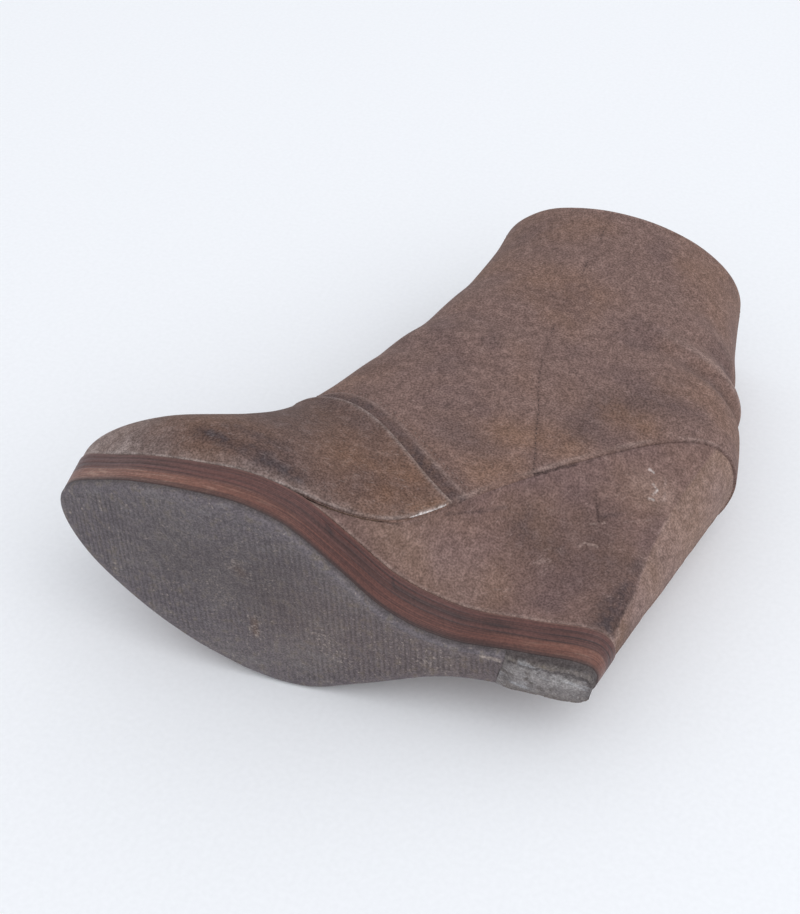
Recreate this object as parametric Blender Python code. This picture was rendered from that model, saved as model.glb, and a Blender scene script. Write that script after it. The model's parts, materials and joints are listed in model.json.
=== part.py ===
"""Wedge ankle boot for the right foot, lying on its outer side.

The pieces are worked out in the boot's own frame, in millimetres: "along" runs from the heel end of the
tread to the toe, "side" to the inner side of the foot, and "up" from the ground that the boot walks on.
At the end they are laid down together, so that tread edge, heel and collar lie on the floor at Z = 0.
"""

from typing import NamedTuple

import bmesh
import bpy
import numpy as np
from mathutils import Matrix, Vector

MM = 0.001

# Driving sizes, in millimetres
TREAD_LENGTH = 200.0
TREAD_THICKNESS = 3.0
WAIST_LIFT = 1.6
WAIST_LIFT_SPAN = (34.0, 68.0)
TOE_SPRING = 11.7
SPRING_FROM = 137.0
HEEL_PIECE_LENGTH = 32.0
HEEL_PIECE_THICKNESS = WAIST_LIFT + TREAD_THICKNESS
PLATFORM_TOP = 18.3
LAYER_LINES = (0.36, 0.58, 0.80)
LAYER_GROOVE_WIDTH = 0.05
LAYER_GROOVE_DEPTH = 0.5
WEDGE_TIP_ROW = 5.5
WEDGE_HOLLOW = 1.2
STRIP_PROUD = 0.7
UPPER_PROUD = 0.8
WALL = 2.0
VAMP_THICKNESS = 1.0
INSOLE_THICKNESS = 2.5
INSOLE_CLEARANCE = 1.2
GAP = 0.3

# Where the boot balances, from the weights of its pieces: along, side, up
BALANCE_POINT = (74.0, -2.0, 65.0)

# How finely the faceted pieces are cut
TREAD_STEPS = 40
WEDGE_RINGS = 5
SECTION_CUTS = 2
WAIST_CUTS = 4
WAIST_ROWS = (7, 9)
HEEL_CUTS = 7
AROUND_CUTS = 36
HALVINGS = 50
PROBE = 0.5
SHARP_ANGLE = 40.0
JOINED_WITHIN = 1e-7


class OutlineRow(NamedTuple):
    """One station of an outline: how far it reaches to each side of the boot's axis."""

    along: float
    inner: float
    outer: float


class HeightRow(NamedTuple):
    """One station of a height or an offset along the boot."""

    along: float
    value: float


class SectionRow(NamedTuple):
    """One section of the last, a closed ring from its base behind or below to its top or front and back.

    base_ and top_ place the two ends of the ring; half is its half width, full squares it off at both
    ends, and egg makes it wider towards its base.
    """

    base_along: float
    base_up: float
    base_side: float
    top_along: float
    top_up: float
    top_side: float
    half: float
    full: float
    egg: float


# Plan of the tread: a broad forefoot and a narrow heel, set over to the outer side at the waist
TREAD_OUTLINE = (
    OutlineRow(-1.0, 3.0, 3.0),
    OutlineRow(0.4, 8.0, -2.6),
    OutlineRow(3.0, 10.3, -5.0),
    OutlineRow(8.0, 10.8, -6.6),
    OutlineRow(27.0, 7.0, -9.4),
    OutlineRow(55.0, 3.0, -17.4),
    OutlineRow(78.0, 9.7, -33.0),
    OutlineRow(96.0, 22.3, -44.2),
    OutlineRow(115.0, 34.5, -46.0),
    OutlineRow(133.0, 38.4, -41.8),
    OutlineRow(151.0, 36.1, -34.9),
    OutlineRow(170.0, 29.5, -26.3),
    OutlineRow(186.0, 19.6, -18.0),
    OutlineRow(195.0, 12.0, -10.2),
    OutlineRow(TREAD_LENGTH, 1.2, 1.2),
)

# How far the top of the platform stands out past the tread, along the plan's normal
PLATFORM_FLARE = (
    HeightRow(-1.0, 4.2),
    HeightRow(10.0, 2.8),
    HeightRow(60.0, 2.2),
    HeightRow(100.0, 1.0),
    HeightRow(130.0, 0.0),
    HeightRow(170.0, -1.4),
    HeightRow(188.0, -1.2),
    HeightRow(TREAD_LENGTH, 0.8),
)

# Height of the feather line, the lower edge of the upper, before the toe spring
FEATHER_HEIGHT = (
    HeightRow(-38.0, 118.0),
    HeightRow(-25.0, 115.0),
    HeightRow(-11.0, 109.0),
    HeightRow(1.0, 101.4),
    HeightRow(18.0, 88.4),
    HeightRow(34.0, 74.6),
    HeightRow(50.0, 59.6),
    HeightRow(64.0, 44.6),
    HeightRow(72.0, 35.6),
    HeightRow(80.0, 28.4),
    HeightRow(90.0, 23.6),
    HeightRow(100.0, 21.4),
    HeightRow(112.0, 20.4),
    HeightRow(119.0, 19.9),
    HeightRow(128.0, 18.9),
    HeightRow(140.0, PLATFORM_TOP + GAP),
    HeightRow(TREAD_LENGTH, PLATFORM_TOP + GAP),
)

# Sections of the last from the toe to the collar. The feather line cuts away the lower part of those in
# front of the heel row; the vamp ends at the seam row.
VAMP_SEAM_ROW = 8
SEAM_BOW = 0.42
SEAM_BOW_ROWS = (6.0, 10.5)
HEEL_ROW = 13
SECTIONS = (
    SectionRow(199.0, 29.9, 1.0, 199.0, 29.9, 1.0, 0.0, 0.02, 0.0),
    SectionRow(195.2, 21.0, 1.0, 198.2, 37.6, 1.0, 7.0, 0.02, 0.0),
    SectionRow(184.0, 11.0, 0.6, 194.4, 44.2, 1.2, 13.6, 0.02, 0.0),
    SectionRow(167.0, 3.0, 0.8, 186.5, 48.4, 2.0, 22.2, 0.02, 0.0),
    SectionRow(144.0, -3.0, -0.2, 175.5, 51.8, 2.6, 31.0, 0.02, 0.0),
    SectionRow(116.0, -7.0, -4.0, 164.0, 57.0, 2.4, 38.2, 0.0, 0.02),
    SectionRow(84.0, -5.0, -11.0, 153.6, 65.0, 2.0, 38.8, 0.0, 0.04),
    SectionRow(48.0, 1.0, -10.0, 144.0, 75.4, 1.6, 33.6, 0.02, 0.06),
    SectionRow(14.0, 13.0, -7.0, 136.4, 86.0, 1.2, 30.2, 0.05, 0.08),
    SectionRow(-8.0, 32.0, -4.0, 128.0, 102.4, 1.0, 29.0, 0.08, 0.1),
    SectionRow(-23.0, 54.0, -1.6, 120.8, 118.0, 1.0, 28.8, 0.1, 0.1),
    SectionRow(-32.0, 77.0, 0.0, 114.0, 133.0, 1.0, 29.0, 0.11, 0.1),
    SectionRow(-36.8, 99.0, 0.8, 107.4, 147.0, 1.0, 29.2, 0.12, 0.1),
    SectionRow(-38.0, 118.0, 1.0, 101.4, 161.0, 1.0, 29.6, 0.12, 0.1),
    SectionRow(-37.0, 141.0, 1.0, 95.4, 178.0, 1.0, 30.4, 0.1, 0.08),
    SectionRow(-33.2, 167.0, 1.0, 89.8, 197.0, 1.0, 31.8, 0.07, 0.05),
    SectionRow(-29.8, 197.0, 1.0, 85.6, 217.0, 1.0, 33.6, 0.04, 0.02),
    SectionRow(-28.6, 233.0, 1.0, 83.0, 237.0, 1.0, 35.4, 0.02, 0.0),
)


def column(table, name):
    """One named column of a table as an array."""
    return np.array([getattr(row, name) for row in table])


def smooth(x, knots, values):
    """Cubic curve through the knots; its slope at a knot is that of the knots beside it."""
    x = np.asarray(x, float)
    slopes = np.gradient(values, knots)
    low = np.clip(np.searchsorted(knots, x, side="right") - 1, 0, len(knots) - 2)
    span = knots[low + 1] - knots[low]
    t = (x - knots[low]) / span
    start = (1 + 2 * t) * (1 - t) ** 2 * values[low] + t * (1 - t) ** 2 * span * slopes[low]
    end = t**2 * (3 - 2 * t) * values[low + 1] - t**2 * (1 - t) * span * slopes[low + 1]
    return start + end


def ease(t):
    """Goes smoothly from 0 to 1 as t does, and stays there."""
    t = np.clip(t, 0, 1)
    return t * t * (3 - 2 * t)


def turn_of(along, table):
    """Where a station lies on an outline, as 0 at its heel end and 1 at its toe, closer spaced at the ends.

    The reach of an outline is a smooth curve of this number, which makes both ends round.
    """
    first, last = table[0].along, table[-1].along
    share = np.clip((np.asarray(along, float) - first) / (last - first), 0, 1)
    return np.arccos(1 - 2 * share) / np.pi


def along_at(turn, table):
    """The station at a turn: the inverse of turn_of."""
    first, last = table[0].along, table[-1].along
    return first + (last - first) * (1 - np.cos(np.pi * turn)) / 2


def reach(turn, table, name):
    """Sideways reach of an outline at a turn, on its inner or outer side."""
    return smooth(turn, turn_of(column(table, "along"), table), column(table, name))


def spring(along):
    """How far the toe curls up from the ground."""
    past = np.clip((along - SPRING_FROM) / (TREAD_LENGTH - SPRING_FROM), 0, None)
    return TOE_SPRING * past**2


def tread_bottom(along):
    """Underside of the tread: flat under the ball, lifted a little at the waist, curled up at the toe."""
    start, end = WAIST_LIFT_SPAN
    return spring(along) + WAIST_LIFT * (1 - ease((along - start) / (end - start)))


def feather_up(along):
    """Height of the feather line, which is also the top of the wedge."""
    height = smooth(along, column(FEATHER_HEIGHT, "along"), column(FEATHER_HEIGHT, "value"))
    return height + spring(along)


def two_sides(turn, table):
    """The inner and the outer edge of an outline as points (along, side), heel to toe."""
    along = along_at(turn, table)
    edges = [np.stack([along, reach(turn, table, name)], axis=1) for name in ("inner", "outer")]
    return edges[0], edges[1]


def pushed_out(inner, outer, distance):
    """Moves both edges of an outline by a distance along their normals in plan."""
    moved = []
    for edge, sign in ((inner, 1.0), (outer, -1.0)):
        step = np.gradient(edge, axis=0)
        normal = sign * np.stack([-step[:, 1], step[:, 0]], axis=1)
        normal /= np.linalg.norm(normal, axis=1, keepdims=True) + 1e-9
        moved.append(edge + normal * np.asarray(distance)[:, None])
    for end, forward in ((0, -1.0), (-1, 1.0)):
        if np.allclose(inner[end], outer[end]):
            tip = inner[end] + np.array([forward * distance[end], 0.0])
            moved[0][end] = tip
            moved[1][end] = tip
    return moved[0], moved[1]


def lifted(edges, up):
    """A ring: both edges of an outline with their heights added."""
    return [np.column_stack([edge, np.broadcast_to(up, len(edge))]) for edge in edges]


def make_object(name, points, faces, material):
    """One closed body from points in millimetres; points that coincide are joined."""
    mesh = bpy.data.meshes.new(name)
    mesh.from_pydata([tuple(p) for p in np.asarray(points) * MM], [], faces)
    work = bmesh.new()
    work.from_mesh(mesh)
    bmesh.ops.remove_doubles(work, verts=work.verts, dist=JOINED_WITHIN)
    bmesh.ops.recalc_face_normals(work, faces=work.faces)
    work.to_mesh(mesh)
    work.free()
    mesh.shade_smooth()
    mesh.set_sharp_from_angle(angle=np.radians(SHARP_ANGLE))
    mesh.materials.append(material)
    obj = bpy.data.objects.new(name, mesh)
    bpy.context.scene.collection.objects.link(obj)
    return obj


def stacked_solid(name, rings, material):
    """A closed body through rings of an inner and an outer edge, from the lowest to the highest."""
    count = len(rings[0][0])
    points = np.vstack([np.vstack([inner, outer]) for inner, outer in rings])

    def place(ring, side, i):
        return (2 * ring + side) * count + i

    faces = []
    for ring in range(len(rings) - 1):
        for side in (0, 1):
            for i in range(count - 1):
                low, high = place(ring, side, i), place(ring + 1, side, i)
                faces.append((low, low + 1, high + 1, high))
        for i in (0, count - 1):
            low = (place(ring, 0, i), place(ring, 1, i))
            high = (place(ring + 1, 1, i), place(ring + 1, 0, i))
            faces.append((*low, *high))
    for ring in (0, len(rings) - 1):
        for i in range(count - 1):
            inner, outer = place(ring, 0, i), place(ring, 1, i)
            faces.append((inner, inner + 1, outer + 1, outer))
    return make_object(name, points, faces, material)


def rising_turns(first, last, count):
    """Evenly spaced turns of the tread outline between two stations."""
    return np.linspace(turn_of(first, TREAD_OUTLINE), turn_of(last, TREAD_OUTLINE), count + 1)


def make_heel_piece(material):
    """The block of harder rubber under the heel: rounded behind, cut straight in front."""
    edges = two_sides(rising_turns(0.0, HEEL_PIECE_LENGTH, TREAD_STEPS // 3), TREAD_OUTLINE)
    return stacked_solid("heel_piece", [lifted(edges, 0.0), lifted(edges, HEEL_PIECE_THICKNESS)], material)


def make_outsole(material):
    """The tread sheet, from the heel piece to the toe."""
    edges = two_sides(rising_turns(HEEL_PIECE_LENGTH + GAP, TREAD_LENGTH, TREAD_STEPS), TREAD_OUTLINE)
    bottom = tread_bottom(edges[0][:, 0])
    return stacked_solid("outsole", [lifted(edges, bottom), lifted(edges, bottom + TREAD_THICKNESS)], material)


def platform_ring(turns, share, inset=0.0):
    """A ring of the platform's side at a share of its height, set in by a groove's depth."""
    edges = two_sides(turns, TREAD_OUTLINE)
    flare = smooth(edges[0][:, 0], column(PLATFORM_FLARE, "along"), column(PLATFORM_FLARE, "value"))
    ring = []
    for edge in pushed_out(*edges, flare * share - inset):
        bottom = tread_bottom(edge[:, 0]) + TREAD_THICKNESS + GAP
        top = PLATFORM_TOP + spring(edge[:, 0])
        ring.append(np.column_stack([edge, bottom + (top - bottom) * share]))
    return ring


def make_platform(material):
    """The stacked platform: one block, with a groove where each layer meets the next."""
    turns = np.linspace(0, 1, TREAD_STEPS + 1)
    rings = [platform_ring(turns, 0.0)]
    for line in LAYER_LINES:
        half = LAYER_GROOVE_WIDTH / 2
        rings.append(platform_ring(turns, line - half))
        rings.append(platform_ring(turns, line, LAYER_GROOVE_DEPTH))
        rings.append(platform_ring(turns, line + half))
    rings.append(platform_ring(turns, 1.0))
    return stacked_solid("platform", rings, material)


def last_point(s, phi):
    """A point of the last at row number s, turned by phi from its base by way of the inner side.

    From base to top a ring goes as (1 - cos phi) / 2, and to its sides as sin phi, with a third harmonic
    that squares it off and a cosine that makes it wider towards the base.
    """
    s, phi = np.broadcast_arrays(np.asarray(s, float), np.asarray(phi, float))
    rows = np.arange(len(SECTIONS), dtype=float)
    value = {name: smooth(s, rows, column(SECTIONS, name)) for name in SectionRow._fields}
    way = (1 - np.cos(phi)) / 2
    along = value["base_along"] + (value["top_along"] - value["base_along"]) * way
    up = value["base_up"] + (value["top_up"] - value["base_up"]) * way
    swing = (np.sin(phi) + value["full"] * np.sin(3 * phi)) / (1 - value["full"])
    swing *= np.maximum(value["half"], 0) * (1 + value["egg"] * np.cos(phi))
    side = value["base_side"] + (value["top_side"] - value["base_side"]) * way + swing
    return np.stack([along, side, up], axis=-1)


def feather_turns(s):
    """Where the rings of rows s cross the feather line: their turn on the inner and on the outer side.

    Found by halving, between the base of a ring and its widest place. From the heel row up it is 0.
    """
    s = np.asarray(s, float)
    found = []
    for sign in (1.0, -1.0):
        low, high = np.zeros_like(s), np.full_like(s, np.pi * 0.75)
        for _ in range(HALVINGS):
            middle = (low + high) / 2
            point = last_point(s, sign * middle)
            below = point[:, 2] < feather_up(point[:, 0])
            low, high = np.where(below, middle, low), np.where(below, high, middle)
        found.append(np.where(s >= HEEL_ROW, 0.0, low))
    return found[0], found[1]


def last_normals(s, phi):
    """Outward normals of the last on a grid of s and phi; at the toe they point forward."""
    step = 1e-3
    around = last_point(s, phi + step) - last_point(s, phi - step)
    last_row = len(SECTIONS) - 1
    onward = last_point(np.clip(s + step, 0, last_row), phi) - last_point(np.clip(s - step, 0, last_row), phi)
    normal = np.cross(onward, around)
    normal[s == 0] = (1.0, 0.0, 0.0)
    return normal / np.linalg.norm(normal, axis=-1, keepdims=True)


def along_the_bottom(point, normal):
    """Turns normals into the face that the wall's lower rim stands on."""
    slope = (feather_up(point[..., 0] + PROBE) - feather_up(point[..., 0] - PROBE)) / (2 * PROBE)
    floor_normal = np.stack([-slope, np.zeros_like(slope), np.ones_like(slope)], axis=-1)
    floor_normal /= np.linalg.norm(floor_normal, axis=-1, keepdims=True)
    flat = normal - (normal * floor_normal).sum(axis=-1, keepdims=True) * floor_normal
    return flat / np.linalg.norm(flat, axis=-1, keepdims=True)


def feather_edges(s, push):
    """The feather line on the inner and on the outer side, at rows s, moved out along the bottom."""
    edges = []
    for turn, sign in zip(feather_turns(s), (1.0, -1.0)):
        point = last_point(s, sign * turn)
        edges.append(point + along_the_bottom(point, last_normals(s, sign * turn)) * push)
    if s[0] == HEEL_ROW:
        edges[1][0] = edges[0][0]
    return edges[0], edges[1]


def section_rows(last_row):
    """Row numbers at which the upper is cut, from the toe to a row.

    They are closer together at the waist, where the feather line bends, and at the heel, where the rings
    come free of it.
    """
    even = np.linspace(0, last_row, last_row * SECTION_CUTS + 1)
    start, end = WAIST_ROWS
    waist = np.linspace(start, end, (end - start) * WAIST_CUTS + 1)
    heel = HEEL_ROW - np.linspace(1, 0, HEEL_CUTS + 1) ** 2
    even = even[(even <= HEEL_ROW - 1) | (even >= HEEL_ROW)]
    cuts = np.unique(np.concatenate([even, waist, heel]))
    return cuts[cuts <= last_row]


def bottom_rows(first_row):
    """The same row numbers along the feather line, from the heel forward to a row."""
    s = section_rows(len(SECTIONS) - 1)
    return s[(s >= first_row) & (s <= HEEL_ROW)][::-1]


def bowed(s, share):
    """Bows the cuts near the vamp's seam back towards the heel, between its lower end and its top."""
    start, end = SEAM_BOW_ROWS
    rise = ease((s - start) / (VAMP_SEAM_ROW - start))
    fall = ease((end - s) / (end - VAMP_SEAM_ROW))
    return s + SEAM_BOW * np.minimum(rise, fall) * np.sin(2 * np.pi * share) ** 2


def make_wedge(material):
    """The covered wedge, ruled from the platform's narrow top to the feather line, and a little hollow.

    All its lines lean back as the line of the heel does, by the same share of their height.
    """
    high = feather_edges(bottom_rows(WEDGE_TIP_ROW), -UPPER_PROUD)
    high_ring = [edge - (0.0, 0.0, GAP) for edge in high]
    low_ring = []
    for side in (0, 1):
        rise = (high[side][:, 2] - PLATFORM_TOP) / (high[side][0, 2] - PLATFORM_TOP)
        along = high[side][:, 0] + (TREAD_OUTLINE[0].along - high[side][0, 0]) * rise
        edges = two_sides(turn_of(along, TREAD_OUTLINE), TREAD_OUTLINE)
        flare = smooth(along, column(PLATFORM_FLARE, "along"), column(PLATFORM_FLARE, "value"))
        edge = pushed_out(*edges, flare - STRIP_PROUD)[side]
        low_ring.append(np.column_stack([edge, np.full(len(edge), PLATFORM_TOP + GAP)]))
    rings = []
    for part in np.linspace(0, 1, WEDGE_RINGS):
        ring = [a + (b - a) * part for a, b in zip(low_ring, high_ring)]
        for edge, top, sign in zip(ring, high_ring, (-1.0, 1.0)):
            height = (top[:, 2] - PLATFORM_TOP) / (top[0, 2] - PLATFORM_TOP)
            edge[:, 1] += sign * WEDGE_HOLLOW * np.sin(np.pi * part) * np.sin(np.pi * height)
        rings.append(ring)
    return stacked_solid("wedge", rings, material)


def make_insole(material):
    """The sock that lines the bottom of the boot, inside the wall."""
    s = bottom_rows(0.0)
    edges = feather_edges(s, -(WALL + INSOLE_CLEARANCE))
    rings = []
    for height in (GAP, GAP + INSOLE_THICKNESS):
        rings.append([np.column_stack([edge[:, :2], feather_up(edge[:, 0]) + height]) for edge in edges])
    return stacked_solid("insole", rings, material)


def shell_between(name, last_row, outer_offset, inner_offset, material):
    """A hollow body between two offsets of the last, from the toe to a row of the table.

    It is open underneath as far as the heel row, and across its last row.
    """
    cuts = section_rows(last_row)
    inner_turn, outer_turn = feather_turns(cuts)
    share = np.linspace(0, 1, AROUND_CUTS + 1)
    phi = inner_turn[:, None] + (2 * np.pi - outer_turn - inner_turn)[:, None] * share
    s = bowed(cuts[:, None], share)
    face = last_point(s, phi)
    normal = last_normals(s, phi)
    open_below = cuts < HEEL_ROW
    for end in (0, -1):
        normal[open_below, end] = along_the_bottom(face[open_below, end], normal[open_below, end])
    normal[0] = normal[0, 0]
    rows, columns = s.shape
    points = np.vstack([(face + normal * offset).reshape(-1, 3) for offset in (outer_offset, inner_offset)])

    def place(layer, row, col):
        return (layer * rows + row) * columns + col

    faces = []
    for layer in (0, 1):
        for row in range(rows - 1):
            for col in range(columns - 1):
                here, above = place(layer, row, col), place(layer, row + 1, col)
                faces.append((here, here + 1, above + 1, above))
    for row in range(rows - 1):
        if open_below[row]:
            for col in (0, columns - 1):
                outside = (place(0, row, col), place(0, row + 1, col))
                faces.append((*outside, place(1, row + 1, col), place(1, row, col)))
    for col in range(columns - 1):
        outside = (place(0, rows - 1, col), place(0, rows - 1, col + 1))
        faces.append((*outside, place(1, rows - 1, col + 1), place(1, rows - 1, col)))
    return make_object(name, points, faces, material)


def make_material(name, colour, roughness):
    """A plain finish with the piece's colour."""
    material = bpy.data.materials.new(name)
    material.use_nodes = True
    shader = material.node_tree.nodes["Principled BSDF"]
    shader.inputs["Base Color"].default_value = (*colour, 1.0)
    shader.inputs["Roughness"].default_value = roughness
    shader.inputs["Metallic"].default_value = 0.0
    return material


def resting_face(objects):
    """The face of the boot's hull that lies under its balance point when the boot is on its outer side.

    Returns the face's outward normal, in the boot's own frame.
    """
    hull = bmesh.new()
    for obj in objects:
        for vertex in obj.data.vertices:
            hull.verts.new(vertex.co)
    middle = Vector(BALANCE_POINT) * MM
    made = bmesh.ops.convex_hull(hull, input=hull.verts)
    found = None
    for face in (g for g in made["geom"] if isinstance(g, bmesh.types.BMFace)):
        corners = [(v.co - middle).xz for v in face.verts]
        turns = [a.cross(b) for a, b in zip(corners, corners[1:] + corners[:1])]
        below = face.calc_center_median().y < middle.y
        if below and (min(turns) >= 0 or max(turns) <= 0):
            found = face.normal.copy()
            if found.dot(face.calc_center_median() - middle) < 0:
                found.negate()
    hull.free()
    return found


def lay_down(objects):
    """Lays the boot on its outer side: the resting face goes to the floor, the toe points along -X."""
    down = resting_face(objects)
    up = -down
    heelward = (Vector((-1.0, 0.0, 0.0)) + up * up.x).normalized()
    turn = Matrix((heelward, up.cross(heelward), up)).to_4x4()
    corners = np.array([turn @ v.co for obj in objects for v in obj.data.vertices])
    low, high = corners.min(axis=0), corners.max(axis=0)
    middle = (low + high) / 2
    lying = bpy.data.objects.new("lying_on_its_side", None)
    bpy.context.scene.collection.objects.link(lying)
    lying.matrix_world = Matrix.Translation((-middle[0], -middle[1], -low[2])) @ turn
    for obj in objects:
        obj.parent = lying
    bpy.context.view_layer.update()


def main():
    for old in list(bpy.data.objects):
        bpy.data.objects.remove(old)
    rubber = make_material("tread_rubber", (0.115, 0.102, 0.104), 0.85)
    hard_rubber = make_material("heel_rubber", (0.20, 0.19, 0.195), 0.8)
    stacked_leather = make_material("stacked_leather", (0.115, 0.048, 0.036), 0.5)
    suede = make_material("suede", (0.175, 0.118, 0.10), 0.95)
    sock = make_material("sock_leather", (0.30, 0.22, 0.16), 0.7)
    last_row = len(SECTIONS) - 1
    pieces = [
        make_heel_piece(hard_rubber),
        make_outsole(rubber),
        make_platform(stacked_leather),
        make_wedge(suede),
        make_insole(sock),
        shell_between("upper", last_row, 0.0, -WALL, suede),
        shell_between("vamp", VAMP_SEAM_ROW, GAP + VAMP_THICKNESS, GAP, suede),
    ]
    lay_down(pieces)


main()
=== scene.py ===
"""Looks of a worn suede wedge ankle boot for the right foot, lying on its outer side.

Surfaces are worked out in the boot's own frame, in millimetres: "along" runs from the heel end of the tread
to the toe, "side" to the inner side of the foot and "up" from the ground that the boot walks on. The record's
two tread mounts say where that frame lies in the row, and every finished piece is carried there.
"""

import json
import logging
from dataclasses import dataclass, field
from enum import Enum

import bmesh
import bpy
import numpy as np
from mathutils import Matrix, Vector


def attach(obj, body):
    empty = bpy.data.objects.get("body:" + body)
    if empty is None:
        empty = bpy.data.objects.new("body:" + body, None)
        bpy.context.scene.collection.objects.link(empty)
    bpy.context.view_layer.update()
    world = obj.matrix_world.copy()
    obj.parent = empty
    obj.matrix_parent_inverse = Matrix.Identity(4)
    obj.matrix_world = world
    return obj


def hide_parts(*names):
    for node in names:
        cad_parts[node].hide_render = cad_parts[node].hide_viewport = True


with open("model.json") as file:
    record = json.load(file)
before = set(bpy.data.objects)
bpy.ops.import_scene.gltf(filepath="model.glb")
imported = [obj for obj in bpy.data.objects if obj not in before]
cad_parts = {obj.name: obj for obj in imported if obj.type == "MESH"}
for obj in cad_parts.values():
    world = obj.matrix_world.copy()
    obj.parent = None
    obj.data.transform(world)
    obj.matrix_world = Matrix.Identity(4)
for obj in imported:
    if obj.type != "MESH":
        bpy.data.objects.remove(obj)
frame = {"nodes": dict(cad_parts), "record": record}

Array = np.ndarray
Place = tuple[float, float, float]
Piece = bpy.types.Object
Material = bpy.types.Material
Socket = bpy.types.NodeSocket
LOG = logging.getLogger("wedge_boot")
MM = 0.001
BODY = "root"
WELD_MM = 1e-3
SHARP_ANGLE = 55.0
SEED = 11
FAR = 1e3
TINY = 1e-12
CLOSER = (0.75, 0.5, 0.25, 0.1)
SOFT = {"interpolation_type": "SMOOTHSTEP"}
# Where the two tread mounts lie in the boot's own frame.
FOREFOOT_SPOT = (105.0, -6.0, 0.0)
HEEL_SPOT = (14.0, 2.0, 0.0)


class Paint(Enum):
    """What is painted on a surface; the value names the mesh attribute that carries it.

    Run and share are no colours but places, along the strip and up it.
    """

    RUB = "rub"
    # Dirt, and painted shade in crevices, crease troughs and at the strip's joint with the tread.
    GRIME = "grime"
    WARM = "warm"
    PALE = "pale"
    # Cuts, grooves and pits, and painted shadow in crevices and under the vamp's lip.
    DEEP = "deep"
    RUN = "run"
    SHARE = "share"


Fields = dict[Paint, Array]


class Side(Enum):
    """The two sides of the boot, as the sign of the side coordinate."""

    INNER = 1.0
    OUTER = -1.0


@dataclass(frozen=True)
class Section:
    """One ring of the last: where its base and top lie, its half width, squareness and taper."""

    base_along: float
    base_up: float
    base_side: float
    top_along: float
    top_up: float
    top_side: float
    half: float
    full: float
    egg: float


@dataclass(frozen=True)
class Station:
    """One station of a height or an offset along the boot."""

    along: float
    value: float


@dataclass(frozen=True)
class Reach:
    """One station of the tread's plan: its reach to the inner and to the outer side."""

    along: float
    inner: float
    outer: float


@dataclass(frozen=True)
class Mark:
    """A soft stroke of paint from start to end on a surface."""

    paint: Paint
    start: Place
    end: Place
    width: float
    strength: float


@dataclass(frozen=True)
class Crease:
    """A soft trough, or a ridge where depth is negative, from start to end on a surface."""

    start: Place
    end: Place
    width: float
    depth: float


@dataclass(frozen=True)
class Fold:
    """A trough, or a ridge where depth is negative, that runs round the shaft along a row of the last.

    Turns are in degrees from the ring's base at the heel, rising to the inner side.
    """

    row_from: float
    row_to: float
    turn_from: float
    turn_to: float
    width: float
    depth: float


def column(table: tuple, name: str) -> Array:
    """One named column of a table as an array."""
    return np.array([getattr(row, name) for row in table], float)


def smooth(x: Array, knots: Array, values: Array) -> Array:
    """Cubic curve through knots, whose slope at a knot is that of the knots beside it.

    Args:
        x: Where to read the curve.
        knots: Rising places of the knots.
        values: The curve's values there.

    Returns:
        The values at x.
    """
    x = np.asarray(x, float)
    slopes = np.gradient(values, knots)
    low = np.clip(np.searchsorted(knots, x, side="right") - 1, 0, len(knots) - 2)
    span = knots[low + 1] - knots[low]
    t = (x - knots[low]) / span
    start = (1 + 2 * t) * (1 - t) ** 2 * values[low] + t * (1 - t) ** 2 * span * slopes[low]
    end = t**2 * (3 - 2 * t) * values[low + 1] - t**2 * (1 - t) * span * slopes[low + 1]
    return start + end


def ease(t: Array) -> Array:
    """Goes smoothly from 0 to 1 as t does, and stays there: 3t^2 - 2t^3."""
    t = np.clip(t, 0, 1)
    return t * t * (3 - 2 * t)


def bell(distance: Array, width: float) -> Array:
    """A soft bump of height 1: exp(-(distance / width)^2)."""
    return np.exp(-((distance / width) ** 2))


def rounded(distance: Array, radius: float) -> Array:
    """How far a round edge of a radius falls away at a distance from its end: a quarter circle."""
    past = np.clip(1 - distance / radius, 0, 1)
    return radius * (1 - np.sqrt(1 - past**2))


def unit(vectors: Array) -> Array:
    """Vectors over their lengths."""
    return vectors / (np.linalg.norm(vectors, axis=-1, keepdims=True) + TINY)


def square_to(axis: Array, vectors: Array) -> Array:
    """Unit vectors square to a unit axis: the vectors less their parts along it."""
    return unit(vectors - (vectors * axis).sum(axis=-1, keepdims=True) * axis)


def waves(points: Array, size: float, seed: int) -> Array:
    """A smooth random field of about -1 to 1: the sum of sine waves in seeded directions.

    Args:
        points: Places (..., 3), in millimetres.
        size: Typical wave length in millimetres.
        seed: Which field.

    Returns:
        One value for each place.
    """
    rng = np.random.default_rng(SEED + seed)
    count = 14
    direction = unit(rng.normal(size=(count, 3)))
    rate = 2 * np.pi / (size * rng.uniform(0.6, 1.6, count))
    phase = rng.uniform(0, 2 * np.pi, count)
    return np.sin(points @ (direction * rate[:, None]).T + phase).sum(axis=-1) / np.sqrt(2 * count)


def segment_distance(points: Array, start: Place, end: Place) -> tuple[Array, Array]:
    """How far points are from a segment, and where along it they are nearest.

    Args:
        points: Places (..., 3).
        start: First end of the segment.
        end: Last end of the segment.

    Returns:
        Distances, and shares 0 to 1 along the segment.
    """
    first, last = np.asarray(start, float), np.asarray(end, float)
    way = last - first
    share = np.clip(((points - first) @ way) / max(way @ way, 1e-9), 0, 1)
    return np.linalg.norm(points - first - share[..., None] * way, axis=-1), share


def creased(points: Array, creases: tuple[Crease, ...]) -> Array:
    """How far a surface sinks in its creases: each a bell across its line that fades at both ends.

    Args:
        points: Places (..., 3) on the surface.
        creases: Its troughs and ridges.

    Returns:
        One depth for each place.
    """
    sink = np.zeros(points.shape[:-1])
    for crease in creases:
        distance, share = segment_distance(points, crease.start, crease.end)
        sink += crease.depth * bell(distance, crease.width) * (0.25 + 0.75 * np.sin(np.pi * share))
    return sink


def lay(fields: Fields, paint: Paint, *strengths: Array) -> None:
    """Lays more of a paint on a surface; where it overlaps, the strongest shows."""
    for strength in strengths:
        fields[paint] = np.maximum(fields[paint], strength)


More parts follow.
